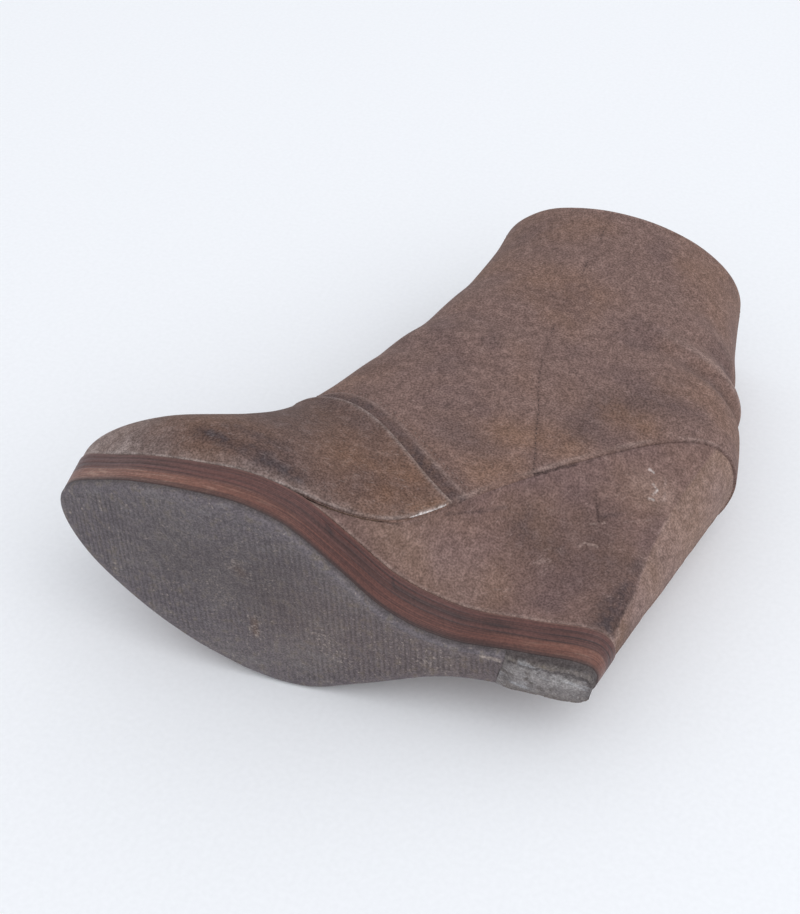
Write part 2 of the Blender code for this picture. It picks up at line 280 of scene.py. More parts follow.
def painted(points: Array, marks: tuple[Mark, ...]) -> Fields:
    """The strength of every paint that marks leave on a surface.

    Args:
        points: Places (..., 3) on the surface.
        marks: The strokes.

    Returns:
        One field for each paint there is.
    """
    fields = {paint: np.zeros(points.shape[:-1]) for paint in Paint}
    for mark in marks:
        distance, _ = segment_distance(points, mark.start, mark.end)
        lay(fields, mark.paint, mark.strength * bell(distance, mark.width))
    return fields


def arc_length(points: Array) -> Array:
    """Distance run along a line of points, or along each row of a grid of them."""
    step = np.linalg.norm(np.diff(points, axis=-2), axis=-1)
    return np.concatenate([np.zeros((*step.shape[:-1], 1)), np.cumsum(step, axis=-1)], axis=-1)


def crowded(count: int) -> Array:
    """Shares around a row, closer at both ends, near the feather line: w - 0.6 sin(2 pi w) / 2 pi."""
    way = np.linspace(0, 1, count)
    return way - 0.6 * np.sin(2 * np.pi * way) / (2 * np.pi)


def grid_normals(points: Array, outward: Array) -> Array:
    """Unit normals of a grid of points, as the cross product of its two directions, on the side of a hint.

    Args:
        points: Places (rows, columns, 3).
        outward: Rough outward directions that the normals are turned to.

    Returns:
        Normals (rows, columns, 3).
    """
    normal = unit(np.cross(np.gradient(points, axis=0), np.gradient(points, axis=1)))
    return normal * np.where((normal * outward).sum(axis=-1, keepdims=True) < 0, -1.0, 1.0)


@dataclass(frozen=True)
class BootFrame:
    """Where the boot's own frame lies in the row, from the record's two tread mounts."""

    origin: Array
    axes: Array

    @classmethod
    def from_record(cls, record: dict) -> "BootFrame":
        """Reads the two flat faces under forefoot and heel, which lie in the plane up = 0.

        Args:
            record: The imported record.

        Returns:
            The frame in which the two spots meet those mounts.
        """
        mounts = {mount["name"]: mount for mount in record["mounts"]}
        forefoot = np.array(mounts["forefoot_tread"]["pos_m"], float)
        heel = np.array(mounts["heel_tread"]["pos_m"], float)
        up = unit(-np.array(mounts["forefoot_tread"]["axis"], float))
        line = square_to(up, forefoot - heel)
        across = np.cross(up, line)
        step = np.subtract(FOREFOOT_SPOT, HEEL_SPOT)
        turn = np.arctan2(step[1], step[0])
        along = np.cos(turn) * line - np.sin(turn) * across
        side = np.sin(turn) * line + np.cos(turn) * across
        axes = np.stack([along, side, up], axis=1)
        return cls(heel - axes @ np.array(HEEL_SPOT) * MM, axes)

    def place(self, points: Array) -> Array:
        """Points in the boot's frame, in millimetres, as points of the row in metres."""
        return self.origin + np.asarray(points, float) @ self.axes.T * MM

    def turned(self, vectors: Array) -> Array:
        """Directions in the boot's frame as directions of the row."""
        return np.asarray(vectors, float) @ self.axes.T


@dataclass(frozen=True)
class TreadPlan:
    """The plan of the tread, its toe spring and the flare of the platform above it."""

    length: float = 200.0
    thickness: float = 3.0
    waist_lift: float = 1.6
    waist_span: tuple[float, float] = (34.0, 68.0)
    toe_spring: float = 11.7
    spring_from: float = 137.0
    heel_piece_length: float = 32.0
    platform_top: float = 18.3
    gap: float = 0.04
    outline: tuple[Reach, ...] = (
        Reach(-1.0, 3.0, 3.0),
        Reach(0.4, 8.0, -2.6),
        Reach(3.0, 10.3, -5.0),
        Reach(8.0, 10.8, -6.6),
        Reach(27.0, 7.0, -9.4),
        Reach(55.0, 3.0, -17.4),
        Reach(78.0, 9.7, -33.0),
        Reach(96.0, 22.3, -44.2),
        Reach(115.0, 34.5, -46.0),
        Reach(133.0, 38.4, -41.8),
        Reach(151.0, 36.1, -34.9),
        Reach(170.0, 29.5, -26.3),
        Reach(186.0, 19.6, -18.0),
        Reach(195.0, 12.0, -10.2),
        Reach(200.0, 1.2, 1.2),
    )
    flare: tuple[Station, ...] = (
        Station(-1.0, 4.2),
        Station(10.0, 2.8),
        Station(60.0, 2.2),
        Station(100.0, 1.0),
        Station(130.0, 0.0),
        Station(170.0, -1.4),
        Station(188.0, -1.2),
        Station(200.0, 0.8),
    )

    @property
    def first(self) -> float:
        """Where the outline's heel end lies."""
        return self.outline[0].along

    def turn_of(self, along: Array) -> Array:
        """Where a station lies on the outline, 0 at the heel and 1 at the toe: the arccosine of its share."""
        share = np.clip((np.asarray(along, float) - self.first) / (self.length - self.first), 0, 1)
        return np.arccos(1 - 2 * share) / np.pi

    def edges(self, turn: Array) -> tuple[Array, Array]:
        """Both edges as points (along, side): smooth curves of the turn, so the ends are round.

        Args:
            turn: Places on the outline, 0 at the heel and 1 at the toe.

        Returns:
            The inner and the outer edge.
        """
        along = self.first + (self.length - self.first) * (1 - np.cos(np.pi * turn)) / 2
        knots = self.turn_of(column(self.outline, "along"))
        reach = [smooth(turn, knots, column(self.outline, name)) for name in ("inner", "outer")]
        return np.stack([along, reach[0]], axis=1), np.stack([along, reach[1]], axis=1)

    def pushed(self, inner: Array, outer: Array, distance: Array) -> tuple[Array, Array]:
        """Both edges moved along their normals in plan; where they meet they move along the boot.

        Args:
            inner: Points (n, 2) of the inner edge, heel to toe.
            outer: Points (n, 2) of the outer edge.
            distance: How far each moves out.

        Returns:
            The two moved edges.
        """
        distance = np.broadcast_to(distance, len(inner))
        moved = []
        for edge, side in ((inner, Side.INNER), (outer, Side.OUTER)):
            step = np.gradient(edge, axis=0)
            normal = unit(side.value * np.stack([-step[:, 1], step[:, 0]], axis=1))
            moved.append(edge + normal * distance[:, None])
        for end, forward in ((0, -1.0), (-1, 1.0)):
            if np.allclose(inner[end], outer[end]):
                tip = inner[end] + np.array([forward * distance[end], 0.0])
                moved[0][end] = tip
                moved[1][end] = tip
        return moved[0], moved[1]

    def spring(self, along: Array) -> Array:
        """How far the toe curls up from the ground, as a parabola."""
        past = np.clip((along - self.spring_from) / (self.length - self.spring_from), 0, None)
        return self.toe_spring * past**2

    def bottom(self, along: Array) -> Array:
        """Underside of the tread sheet: flat under the ball, lifted at the waist, curled up at the toe."""
        start, end = self.waist_span
        return self.spring(along) + self.waist_lift * (1 - ease((along - start) / (end - start)))

    def flare_at(self, along: Array) -> Array:
        """How far the platform's top stands out past the tread."""
        return smooth(along, column(self.flare, "along"), column(self.flare, "value"))

    def stations(self, start: float, end: float, even: int, round_ends: int) -> Array:
        """Turns evenly spaced along the boot, with more where the outline's ends are round.

        Args:
            start: First place along the boot.
            end: Last place.
            even: How many are spaced evenly along it.
            round_ends: How many more are spaced evenly round the outline.

        Returns:
            Rising turns.
        """
        along = np.linspace(start, end, even)
        turn = np.linspace(*self.turn_of(np.array([start, end])), round_ends)
        return np.unique(np.round(np.concatenate([self.turn_of(along), turn]), 7))


@dataclass(frozen=True)
class LastGrid:
    """The last's surface on a grid: points, outward normals, row numbers and which rows are open below."""

    point: Array
    normal: Array
    row: Array
    below: Array

    def from_feather(self) -> Array:
        """Distance of each point from the feather line round its row, far in rows that it doesn't cut."""
        run = arc_length(self.point)
        return np.where(self.below[:, None], np.minimum(run, run[:, -1:] - run), FAR)

    def from_last_row(self) -> Array:
        """Distance of each point from the last row, measured along its column."""
        run = arc_length(self.point.transpose(1, 0, 2))
        return (run[:, -1:] - run).T

    def offset(self, distance: Array) -> Array:
        """The surface moved out along its normals."""
        return self.point + self.normal * np.broadcast_to(distance, self.row.shape)[..., None]


@dataclass(frozen=True)
class Last:
    """The form that the upper is pulled over: rings from toe to collar, cut below by the feather line."""

    plan: TreadPlan = TreadPlan()
    heel_row: float = 13.0
    seam_row: float = 8.0
    collar_row: float = 17.0
    seam_bow: float = 0.42
    bow_rows: tuple[float, float] = (6.0, 10.5)
    halvings: int = 40
    probe: float = 0.5
    feather: tuple[Station, ...] = (
        Station(-38.0, 118.0),
        Station(-25.0, 115.0),
        Station(-11.0, 109.0),
        Station(1.0, 101.4),
        Station(18.0, 88.4),
        Station(34.0, 74.6),
        Station(50.0, 59.6),
        Station(64.0, 44.6),
        Station(72.0, 35.6),
        Station(80.0, 28.4),
        Station(90.0, 23.6),
        Station(100.0, 21.4),
        Station(112.0, 20.4),
        Station(119.0, 19.9),
        Station(128.0, 18.9),
        Station(140.0, 18.6),
        Station(200.0, 18.6),
    )
    sections: tuple[Section, ...] = (
        Section(199.0, 29.9, 1.0, 199.0, 29.9, 1.0, 0.0, 0.02, 0.0),
        Section(195.2, 21.0, 1.0, 198.2, 37.6, 1.0, 7.0, 0.02, 0.0),
        Section(184.0, 11.0, 0.6, 194.4, 44.2, 1.2, 13.6, 0.02, 0.0),
        Section(167.0, 3.0, 0.8, 186.5, 48.4, 2.0, 22.2, 0.02, 0.0),
        Section(144.0, -3.0, -0.2, 175.5, 51.8, 2.6, 31.0, 0.02, 0.0),
        Section(116.0, -7.0, -4.0, 164.0, 57.0, 2.4, 38.2, 0.0, 0.02),
        Section(84.0, -5.0, -11.0, 153.6, 65.0, 2.0, 38.8, 0.0, 0.04),
        Section(48.0, 1.0, -10.0, 144.0, 75.4, 1.6, 33.6, 0.02, 0.06),
        Section(14.0, 13.0, -7.0, 136.4, 86.0, 1.2, 30.2, 0.05, 0.08),
        Section(-8.0, 32.0, -4.0, 128.0, 102.4, 1.0, 29.0, 0.08, 0.1),
        Section(-23.0, 54.0, -1.6, 120.8, 118.0, 1.0, 28.8, 0.1, 0.1),
        Section(-32.0, 77.0, 0.0, 114.0, 133.0, 1.0, 29.0, 0.11, 0.1),
        Section(-36.8, 99.0, 0.8, 107.4, 147.0, 1.0, 29.2, 0.12, 0.1),
        Section(-38.0, 118.0, 1.0, 101.4, 161.0, 1.0, 29.6, 0.12, 0.1),
        Section(-37.0, 141.0, 1.0, 95.4, 178.0, 1.0, 30.4, 0.1, 0.08),
        Section(-33.2, 167.0, 1.0, 89.8, 197.0, 1.0, 31.8, 0.07, 0.05),
        Section(-29.8, 197.0, 1.0, 85.6, 217.0, 1.0, 33.6, 0.04, 0.02),
        Section(-28.6, 233.0, 1.0, 83.0, 237.0, 1.0, 35.4, 0.02, 0.0),
    )

    def feather_up(self, along: Array) -> Array:
        """Height of the feather line, the lower edge of the upper and the top of the wedge."""
        height = smooth(along, column(self.feather, "along"), column(self.feather, "value"))
        return height + self.plan.spring(along)

    def point(self, s: Array, phi: Array) -> Array:
        """A point of the last at row number s, turned by phi from the ring's base by way of the inner side.

        From base to top a ring goes as (1 - cos phi) / 2 and to its sides as sin phi, with a third harmonic
        that squares it off and a cosine that makes it wider towards the base.

        Args:
            s: Row numbers, between rows too.
            phi: Turns in radians.

        Returns:
            Points (..., 3).
        """
        s, phi = np.broadcast_arrays(np.asarray(s, float), np.asarray(phi, float))
        rows = np.arange(len(self.sections), dtype=float)
        value = {name: smooth(s, rows, column(self.sections, name)) for name in Section.__dataclass_fields__}
        way = (1 - np.cos(phi)) / 2
        along = value["base_along"] + (value["top_along"] - value["base_along"]) * way
        up = value["base_up"] + (value["top_up"] - value["base_up"]) * way
        swing = (np.sin(phi) + value["full"] * np.sin(3 * phi)) / (1 - value["full"])
        swing *= np.maximum(value["half"], 0) * (1 + value["egg"] * np.cos(phi))
        side = value["base_side"] + (value["top_side"] - value["base_side"]) * way + swing
        return np.stack([along, side, up], axis=-1)

    def normal(self, s: Array, phi: Array) -> Array:
        """Outward normals, as the cross product of the surface's two directions.

        Args:
            s: Row numbers.
            phi: Turns in radians.

        Returns:
            Unit normals (..., 3).
        """
        step = 1e-3
        around = self.point(s, phi + step) - self.point(s, phi - step)
        onward = self.point(np.clip(s + step, 0, self.collar_row), phi)
        onward = onward - self.point(np.clip(s - step, 0, self.collar_row), phi)
        normal = np.cross(onward, around)
        normal[np.broadcast_to(s, normal.shape[:-1]) == 0] = (1.0, 0.0, 0.0)
        return unit(normal)

    def feather_turns(self, s: Array) -> tuple[Array, Array]:
        """The turns at which rows cross the feather line, found by halving.

        Args:
            s: Row numbers.

        Returns:
            Turns on the inner and on the outer side.
        """
        found = []
        for side in Side:
            low, high = np.zeros_like(s), np.full_like(s, np.pi * 0.75)
            for _ in range(self.halvings):
                middle = (low + high) / 2
                point = self.point(s, side.value * middle)
                below = point[:, 2] < self.feather_up(point[:, 0])
                low, high = np.where(below, middle, low), np.where(below, high, middle)
            found.append(np.where(s >= self.heel_row, 0.0, low))
        return found[0], found[1]

    def along_the_bottom(self, point: Array, normal: Array) -> Array:
        """Normals turned into the face that the wall's lower rim stands on.

        Args:
            point: Points on the feather line.
            normal: The last's normals there.

        Returns:
            Unit directions in that face.
        """
        ahead = self.feather_up(point[..., 0] + self.probe)
        slope = (ahead - self.feather_up(point[..., 0] - self.probe)) / (2 * self.probe)
        upright = unit(np.stack([-slope, np.zeros_like(slope), np.ones_like(slope)], axis=-1))
        return square_to(upright, normal)

    def feather_edges(self, s: Array, push: float) -> tuple[Array, Array]:
        """The feather line on both sides, moved out along the bottom.

        Args:
            s: Row numbers.
            push: How far it moves out.

        Returns:
            Points on the inner and on the outer side.
        """
        edges = []
        for turn, side in zip(self.feather_turns(s), Side):
            point = self.point(s, side.value * turn)
            edges.append(point + self.along_the_bottom(point, self.normal(s, side.value * turn)) * push)
        if s[0] == self.heel_row:
            edges[1][0] = edges[0][0]
        return edges[0], edges[1]

    def bowed(self, s: Array, share: Array) -> Array:
        """Row numbers near the vamp's seam, bowed towards the heel between the seam's lower end and its top.

        Args:
            s: Row numbers.
            share: Shares of the way around.

        Returns:
            The bowed row numbers.
        """
        start, end = self.bow_rows
        rise = ease((s - start) / (self.seam_row - start))
        fall = ease((end - s) / (end - self.seam_row))
        return s + self.seam_bow * np.minimum(rise, fall) * np.sin(2 * np.pi * share) ** 2

    def grid(self, cuts: Array, share: Array) -> LastGrid:
        """The last's surface on a grid, from the inner side's feather line over the top to the outer side's.

        Args:
            cuts: Row numbers from the toe towards the collar.
            share: Rising shares 0 to 1 of the way around.

        Returns:
            Points, normals and row numbers of the grid.
        """
        inner_turn, outer_turn = self.feather_turns(cuts)
        phi = inner_turn[:, None] + (2 * np.pi - outer_turn - inner_turn)[:, None] * share
        s = self.bowed(cuts[:, None], share)
        point, normal = self.point(s, phi), self.normal(s, phi)
        below = cuts < self.heel_row
        for end in (0, -1):
            normal[below, end] = self.along_the_bottom(point[below, end], normal[below, end])
        if cuts[0] == 0:
            normal[0] = normal[0, 0]
        return LastGrid(point, normal, np.broadcast_to(cuts[:, None], s.shape), below)


@dataclass
class Sheet:
    """A grid of points, or a pile of equal grids, with painted fields: one side of a closed mesh."""

    points: Array
    paint: Fields = field(default_factory=dict)


class Hull:
    """Collects sheets and strips of polygons and welds them into one closed mesh."""

    def __init__(self) -> None:
        """Starts with nothing."""
        self.points: list[Array] = []
        self.paint: list[Fields] = []
        self.loops: list[Array] = []
        self.sizes: list[Array] = []
        self.count = 0

    def polygons(self, corners: Array) -> None:
        """Adds polygons of equal size, one for each row of point numbers."""
        self.loops.append(corners.reshape(-1))
        self.sizes.append(np.full(corners.size // corners.shape[-1], corners.shape[-1]))

    def sheet(self, sheet: Sheet) -> Array:
        """Adds a grid of quads.

        Args:
            sheet: The grid, or pile of grids, with its fields.

        Returns:
            The numbers of its points, shaped as the grid.
        """
        shape = sheet.points.shape[:-1]
        number = self.count + np.arange(np.prod(shape)).reshape(shape)
        self.points.append(sheet.points.reshape(-1, 3))
        fields = {name: np.broadcast_to(value, shape).ravel() for name, value in sheet.paint.items()}
        self.paint.append(fields)
        corners = (number[..., :-1, :-1], number[..., :-1, 1:], number[..., 1:, 1:], number[..., 1:, :-1])
        self.polygons(np.stack(corners, axis=-1))
        self.count += number.size
        return number

    def strip(self, fine: Array, coarse: Array) -> None:
        """Closes the gap between a fine border and a coarse one with one polygon for each coarse step.

        Args:
            fine: Point numbers of the fine border.
            coarse: Point numbers of the coarse border, a whole number of fine steps apart.
        """
        pace = (len(fine) - 1) // (len(coarse) - 1)
        first = np.arange(len(coarse) - 1) * pace
        border = fine[first[:, None] + np.arange(pace + 1)]
        self.polygons(np.concatenate([border, coarse[1:, None], coarse[:-1, None]], axis=1))

    def block(self, inner: Sheet, outer: Sheet, face: Sheet, ends: tuple[int, ...]) -> None:
        """A low block: two sides, the face below between their feet, a flat dark top and closed ends.

        Args:
            inner: Its inner side, from the foot up.
            outer: Its outer side.
            face: The face below, from the inner side's foot to the outer side's.
            ends: The ends, 0 or -1, where its sides stand apart.
        """
        first, last = self.sheet(inner), self.sheet(outer)
        below = self.sheet(face)
        top = np.stack([inner.points[-1], outer.points[-1]], axis=1)
        self.sheet(Sheet(top, {Paint.GRIME: np.ones(1)}))
        for end in ends:
            self.polygons(np.concatenate([below[end], last[1:, end], first[:0:-1, end]])[None])

    def shell(self, face: Sheet, back: Array, open_rows: int, pace: int) -> None:
        """A thin closed wall: a fine face, a back read only at every pace-th point, and the rims between.

        Args:
            face: The face that shows.
            back: Points of the wall's other face on the same grid.
            open_rows: Number of the last row whose two ends don't meet.
            pace: Steps of the face for one step of the back.
        """
        fine = self.sheet(face)
        thinned = {name: value[::pace, ::pace] for name, value in face.paint.items()}
        coarse = self.sheet(Sheet(back[::pace, ::pace], thinned))
        for row in (0, -1):
            self.strip(fine[row], coarse[row])
        for end in (0, -1):
            self.strip(fine[: open_rows + 1, end], coarse[: open_rows // pace + 1, end])

    def build(self, name: str, boot: BootFrame, material: Material) -> Piece:
        """Welds points that coincide, drops what collapses, and makes the piece.

        Args:
            name: The piece's name.
            boot: Where the boot lies.
            material: The piece's finish.

        Returns:
            The finished object, riding on the boot's body.
        """
        points = np.concatenate(self.points)
        places = np.round(points / WELD_MM).astype(np.int64)
        _, first, welded = np.unique(places, axis=0, return_index=True, return_inverse=True)
        loops = welded.reshape(-1)[np.concatenate(self.loops)]
        sizes = np.concatenate(self.sizes)
        start = np.concatenate([[0], np.cumsum(sizes)[:-1]])
        owner = np.repeat(np.arange(len(sizes)), sizes)
        following = np.arange(len(loops)) + 1
        following[start + sizes - 1] = start
        kept = loops != loops[following]
        sizes = np.bincount(owner[kept], minlength=len(sizes))
        whole = sizes >= 3
        loops = loops[kept & whole[owner]]
        sizes = sizes[whole]
        mesh = bpy.data.meshes.new(name)
        mesh.vertices.add(len(first))
        mesh.vertices.foreach_set("co", boot.place(points[first]).astype(np.float32).ravel())
        mesh.loops.add(len(loops))
        mesh.loops.foreach_set("vertex_index", loops.astype(np.int32))
        mesh.polygons.add(len(sizes))
        start = np.concatenate([[0], np.cumsum(sizes)[:-1]])
        mesh.polygons.foreach_set("loop_start", start.astype(np.int32))
        mesh.update(calc_edges=True)
        for paint in Paint:
            parts = [fields.get(paint, np.zeros(len(p))) for fields, p in zip(self.paint, self.points)]
            value = np.concatenate(parts)[first]
            if np.any(value):
                layer = mesh.attributes.new(paint.value, "FLOAT", "POINT")
                layer.data.foreach_set("value", value.astype(np.float32))
        return finished(name, mesh, material)


def finished(name: str, mesh: bpy.types.Mesh, material: Material) -> Piece:
    """Turns a mesh's faces outwards, shades it and puts it on the boot's body.

    Args:
        name: The piece's name.
        mesh: Its closed mesh, in the row's frame.
        material: Its finish.

    Returns:
        The piece's object.
    """
    work = bmesh.new()
    work.from_mesh(mesh)
    bmesh.ops.recalc_face_normals(work, faces=work.faces)
    work.to_mesh(mesh)
    work.free()
    mesh.shade_smooth()
    mesh.set_sharp_from_angle(angle=np.radians(SHARP_ANGLE))
    mesh.materials.append(material)
    piece = bpy.data.objects.new(name, mesh)
    bpy.context.scene.collection.objects.link(piece)
    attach(piece, BODY)
    LOG.info("%s: %d triangles", name, len(mesh.loops) - 2 * len(mesh.polygons))
    return piece


def linear(hex_colour: str) -> tuple[float, float, float, float]:
    """An sRGB hex colour as a linear one.

    Args:
        hex_colour: A hash sign and six hex digits.

    Returns:
        Red, green, blue and alpha.
    """
    value = np.array([int(hex_colour[i:i + 2], 16) for i in (1, 3, 5)]) / 255.0
    value = np.where(value <= 0.04045, value / 12.92, ((value + 0.055) / 1.055) ** 2.4)
    return (*value.tolist(), 1.0)


def per_metre(millimetres: float) -> float:
    """A pattern's scale from the size of one of its features."""
    return 1.0 / (millimetres * MM)


def add_node(
    tree: bpy.types.NodeTree, kind: str, inputs: dict, output: int | str = 0, **settings: object
) -> Socket:
    """Adds a shader node with its settings, values and links.

    Args:
        tree: The material's node tree.
        kind: The node's type, without the word that all of them start with.
        inputs: Values or output sockets for its inputs, by name or number.
        output: Which of its outputs to hand back.
        **settings: The node's own properties.

    Returns:
        That output.
    """
    node = tree.nodes.new("ShaderNode" + kind)
    for name, value in settings.items():
        setattr(node, name, value)
    for key, value in inputs.items():
        if isinstance(value, Socket):
            tree.links.new(value, node.inputs[key])
        else:
            node.inputs[key].default_value = value
    return node.outputs[output]


@dataclass
class Finish:
    """One material being made: its tree, its shader, its Object coordinates and its painted fields."""

    name: str
    roughness: float
    specular: float
    shake_mm: float = 3.0
    shake_reach_mm: float = 1.2
    skip_mm: float = 1.6
    gloss_span: float = 0.05

    def __post_init__(self) -> None:
        """Starts the material with what is the same all over it."""
        self.material = bpy.data.materials.new(self.name)
        self.material.use_nodes = True
        self.tree = self.material.node_tree
        self.shader = self.tree.nodes["Principled BSDF"]
        self.shader.inputs["Specular IOR Level"].default_value = self.specular
        self.place = add_node(self.tree, "TexCoord", {}, "Object")
        self.paint = {p: add_node(self.tree, "Attribute", {}, "Fac", attribute_name=p.value) for p in Paint}

    def stroke(self, boot: BootFrame, mark: Mark) -> Socket:
        """How strongly a mark too fine for the mesh shows at a place: full on its segment, none at its width.

        With W the way from the mark's start A to its end, the segment's nearest point to a place P is at the
        share (P - A).W / W.W of the way, held between 0 and 1. The place is shaken a little, so that no line
        is ruled, and the stroke skips, rubbed ones most.

        Args:
            boot: Where the boot lies.
            mark: The mark.

        Returns:
            Its strength.
        """
        tree = self.tree
        start = boot.place(np.array(mark.start))
        way = boot.place(np.array(mark.end)) - start
        shake = add_node(tree, "TexNoise", {"Vector": self.place, "Scale": per_metre(self.shake_mm)}, "Color")
        shaken = {0: shake, 1: (self.shake_reach_mm * MM,) * 3, 2: self.place}
        place = add_node(tree, "VectorMath", shaken, operation="MULTIPLY_ADD")
        middle = start + self.shake_reach_mm / 2 * MM
        off = add_node(tree, "VectorMath", {0: place, 1: middle}, operation="SUBTRACT")
        onto = {0: off, 1: way / (way @ way)}
        share = add_node(tree, "VectorMath", onto, "Value", operation="DOT_PRODUCT")
        held = add_node(tree, "Clamp", {0: share})
        nearest = add_node(tree, "VectorMath", {0: way, "Scale": held}, operation="SCALE")
        away = add_node(tree, "VectorMath", {0: off, 1: nearest}, "Value", operation="DISTANCE")
        reach = {0: away, 1: mark.width * MM, 2: 0.2 * mark.width * MM, 3: 0.0, 4: mark.strength}
        line = add_node(tree, "MapRange", reach, **SOFT)
        least = {Paint.RUB: 0.1, Paint.PALE: 0.35}.get(mark.paint, 0.7)
        gaps = {"Vector": self.place, "Scale": per_metre(self.skip_mm), "Detail": 2.0}
        skips = add_node(tree, "TexNoise", gaps)
        broken = add_node(tree, "MapRange", {0: skips, 1: 0.4, 2: 0.58, 3: least, 4: 1.0})
        return add_node(tree, "Math", {0: line, 1: broken}, operation="MULTIPLY")

    def layered(self, base: object, layers: list[tuple[object, str]]) -> Socket:
        """Colours laid over a base one after another.

        Args:
            base: The lowest colour, a socket or a linear colour.
            layers: Each layer's share, a socket or a number, and its hex colour.

        Returns:
            The colour that results.
        """
        colour = base
        for share, layer in layers:
            colour = add_node(self.tree, "Mix", {0: share, 6: colour, 7: linear(layer)}, 2, data_type="RGBA")
        return colour

    def close(self, colour: Socket, speck: Socket, bump: Socket) -> None:
        """Links colour, gloss and bump to the shader; a high speck is lighter and glossier.

        Args:
            colour: The colour.
            speck: A factor around 1.
            bump: The normal.
        """
        grey = add_node(self.tree, "CombineColor", {0: speck, 1: speck, 2: speck})
        inputs = {0: 1.0, 6: colour, 7: grey}
        dressed = add_node(self.tree, "Mix", inputs, 2, data_type="RGBA", blend_type="MULTIPLY")
        dull, glossy = self.roughness + self.gloss_span, self.roughness - self.gloss_span
        gloss = add_node(self.tree, "MapRange", {0: speck, 1: 0.7, 2: 1.3, 3: dull, 4: glossy})
        self.tree.links.new(dressed, self.shader.inputs["Base Color"])
        self.tree.links.new(gloss, self.shader.inputs["Roughness"])
        self.tree.links.new(bump, self.shader.inputs["Normal"])


@dataclass(frozen=True)
class Suede:
    """Split leather with a brushed nap: matt and mottled, with a soft bloom at grazing angles and dark wear.

    Its colours are the nap itself, the browner patches, the cooler ones where it is flattened, dirt, rubbed
    edges, bare scratches, deep cuts, and painted shade in crevices and crease troughs. The grain is drawn
    a little coarser than real nap, to show.
    """

    name: str
    # The nap's own colour, darkened a little as painted shade of a shadow cast on the shaft.
    nap: str = "#76605a"
    warm: str = "#80624f"
    cool: str = "#57484a"
    # Dirt, and painted shade in crevices and crease troughs.
    grime: str = "#3c3437"
    rub: str = "#9c8780"
    pale: str = "#e0dad8"
    # Cuts, and painted shadow in crevices and under the vamp's lip.
    deep: str = "#241c1d"
    patch_mm: float = 46.0
    cloud_mm: float = 20.0
    mottle_mm: float = 3.4
    grain_mm: float = 0.75
    grain_contrast: float = 0.36
    scuff_mm: tuple[float, float] = (13.0, 0.8)
    scuff_turns: tuple[Place, ...] = ((0.3, 0.5, 0.2), (1.1, -0.4, 0.9))
    sheen: str = "#d9c9c2"

    def material(self, boot: BootFrame, fine: tuple[Mark, ...] = ()) -> Material:
        """The nap's colours from noises, scuffs, painted fields and fine marks, its grain as bump.

        Args:
            boot: Where the boot lies.
            fine: Marks too fine for the mesh.

        Returns:
            The material.
        """
        finish = Finish(self.name, 0.95, 0.12)
        tree, place, paint = finish.tree, finish.place, finish.paint
        sizes = ((self.patch_mm, 2.0), (self.cloud_mm, 3.0), (self.mottle_mm, 3.0), (self.grain_mm, 2.0))
        patch, cloud, mottle, grain = [
            add_node(tree, "TexNoise", {"Vector": place, "Scale": per_metre(size), "Detail": detail})
            for size, detail in sizes
        ]
        warm = add_node(tree, "MapRange", {0: patch, 1: 0.4, 2: 0.66, 3: 0.0, 4: 0.38}, **SOFT)
        cool = add_node(tree, "MapRange", {0: cloud, 1: 0.46, 2: 0.72, 3: 0.0, 4: 0.35}, **SOFT)
        ragged = add_node(tree, "MapRange", {0: mottle, 1: 0.3, 2: 0.66, 3: 0.45, 4: 1.2}, **SOFT)
        worn = add_node(tree, "MapRange", {0: mottle, 1: 0.3, 2: 0.62, 3: 0.7, 4: 1.05}, **SOFT)
        dusty = add_node(tree, "MapRange", {0: mottle, 1: 0.5, 2: 0.75, 3: 0.0, 4: 0.1}, **SOFT)
        clamped = {"operation": "MULTIPLY", "use_clamp": True}
        # Dirt and painted shade from the painted field, made ragged.
        dirt = add_node(tree, "Math", {0: paint[Paint.GRIME], 1: ragged}, **clamped)
        rub = add_node(tree, "Math", {0: paint[Paint.RUB], 1: worn}, **clamped)
        pale = add_node(tree, "Math", {0: paint[Paint.PALE], 1: worn}, **clamped)
        layers = [
            (warm, self.warm), (paint[Paint.WARM], self.warm), (cool, self.cool), (dirt, self.grime),
            (dusty, self.rub), (rub, self.rub),
        ]
        length, width = self.scuff_mm
        for turn in self.scuff_turns:
            drawn = {"Vector": place, "Rotation": turn, "Scale": (length * MM, width * MM, width * MM)}
            laid = add_node(tree, "Mapping", drawn, vector_type="TEXTURE")
            streak = add_node(tree, "TexNoise", {"Vector": laid, "Scale": 1.0, "Detail": 2.0})
            scuff = add_node(tree, "MapRange", {0: streak, 1: 0.62, 2: 0.76, 3: 0.0, 4: 0.28}, **SOFT)
            layers.append((scuff, self.rub))
        colours = {Paint.RUB: self.rub, Paint.GRIME: self.grime, Paint.PALE: self.pale, Paint.DEEP: self.deep}
        layers += [(finish.stroke(boot, mark), colours[mark.paint]) for mark in fine]
        layers += [(pale, self.pale), (paint[Paint.DEEP], self.deep)]
        colour = finish.layered(linear(self.nap), layers)
        coarse = add_node(tree, "MapRange", {0: mottle, 1: 0.3, 2: 0.7, 3: 0.88, 4: 1.12}, **SOFT)
        spread = {3: 1 - self.grain_contrast, 4: 1 + self.grain_contrast}
        fine_grain = add_node(tree, "MapRange", {0: grain, 1: 0.28, 2: 0.72, **spread}, **SOFT)
        speck = add_node(tree, "Math", {0: coarse, 1: fine_grain}, operation="MULTIPLY")
        rough = add_node(tree, "Math", {0: mottle, 1: 0.6, 2: grain}, operation="MULTIPLY_ADD")
        nap = add_node(tree, "Bump", {"Height": rough, "Strength": 0.35, "Distance": 0.35 * MM})
        finish.shader.inputs["Sheen Weight"].default_value = 0.1
        finish.shader.inputs["Sheen Roughness"].default_value = 0.5
        finish.shader.inputs["Sheen Tint"].default_value = linear(self.sheen)
        finish.close(colour, speck, nap)
        return finish.material


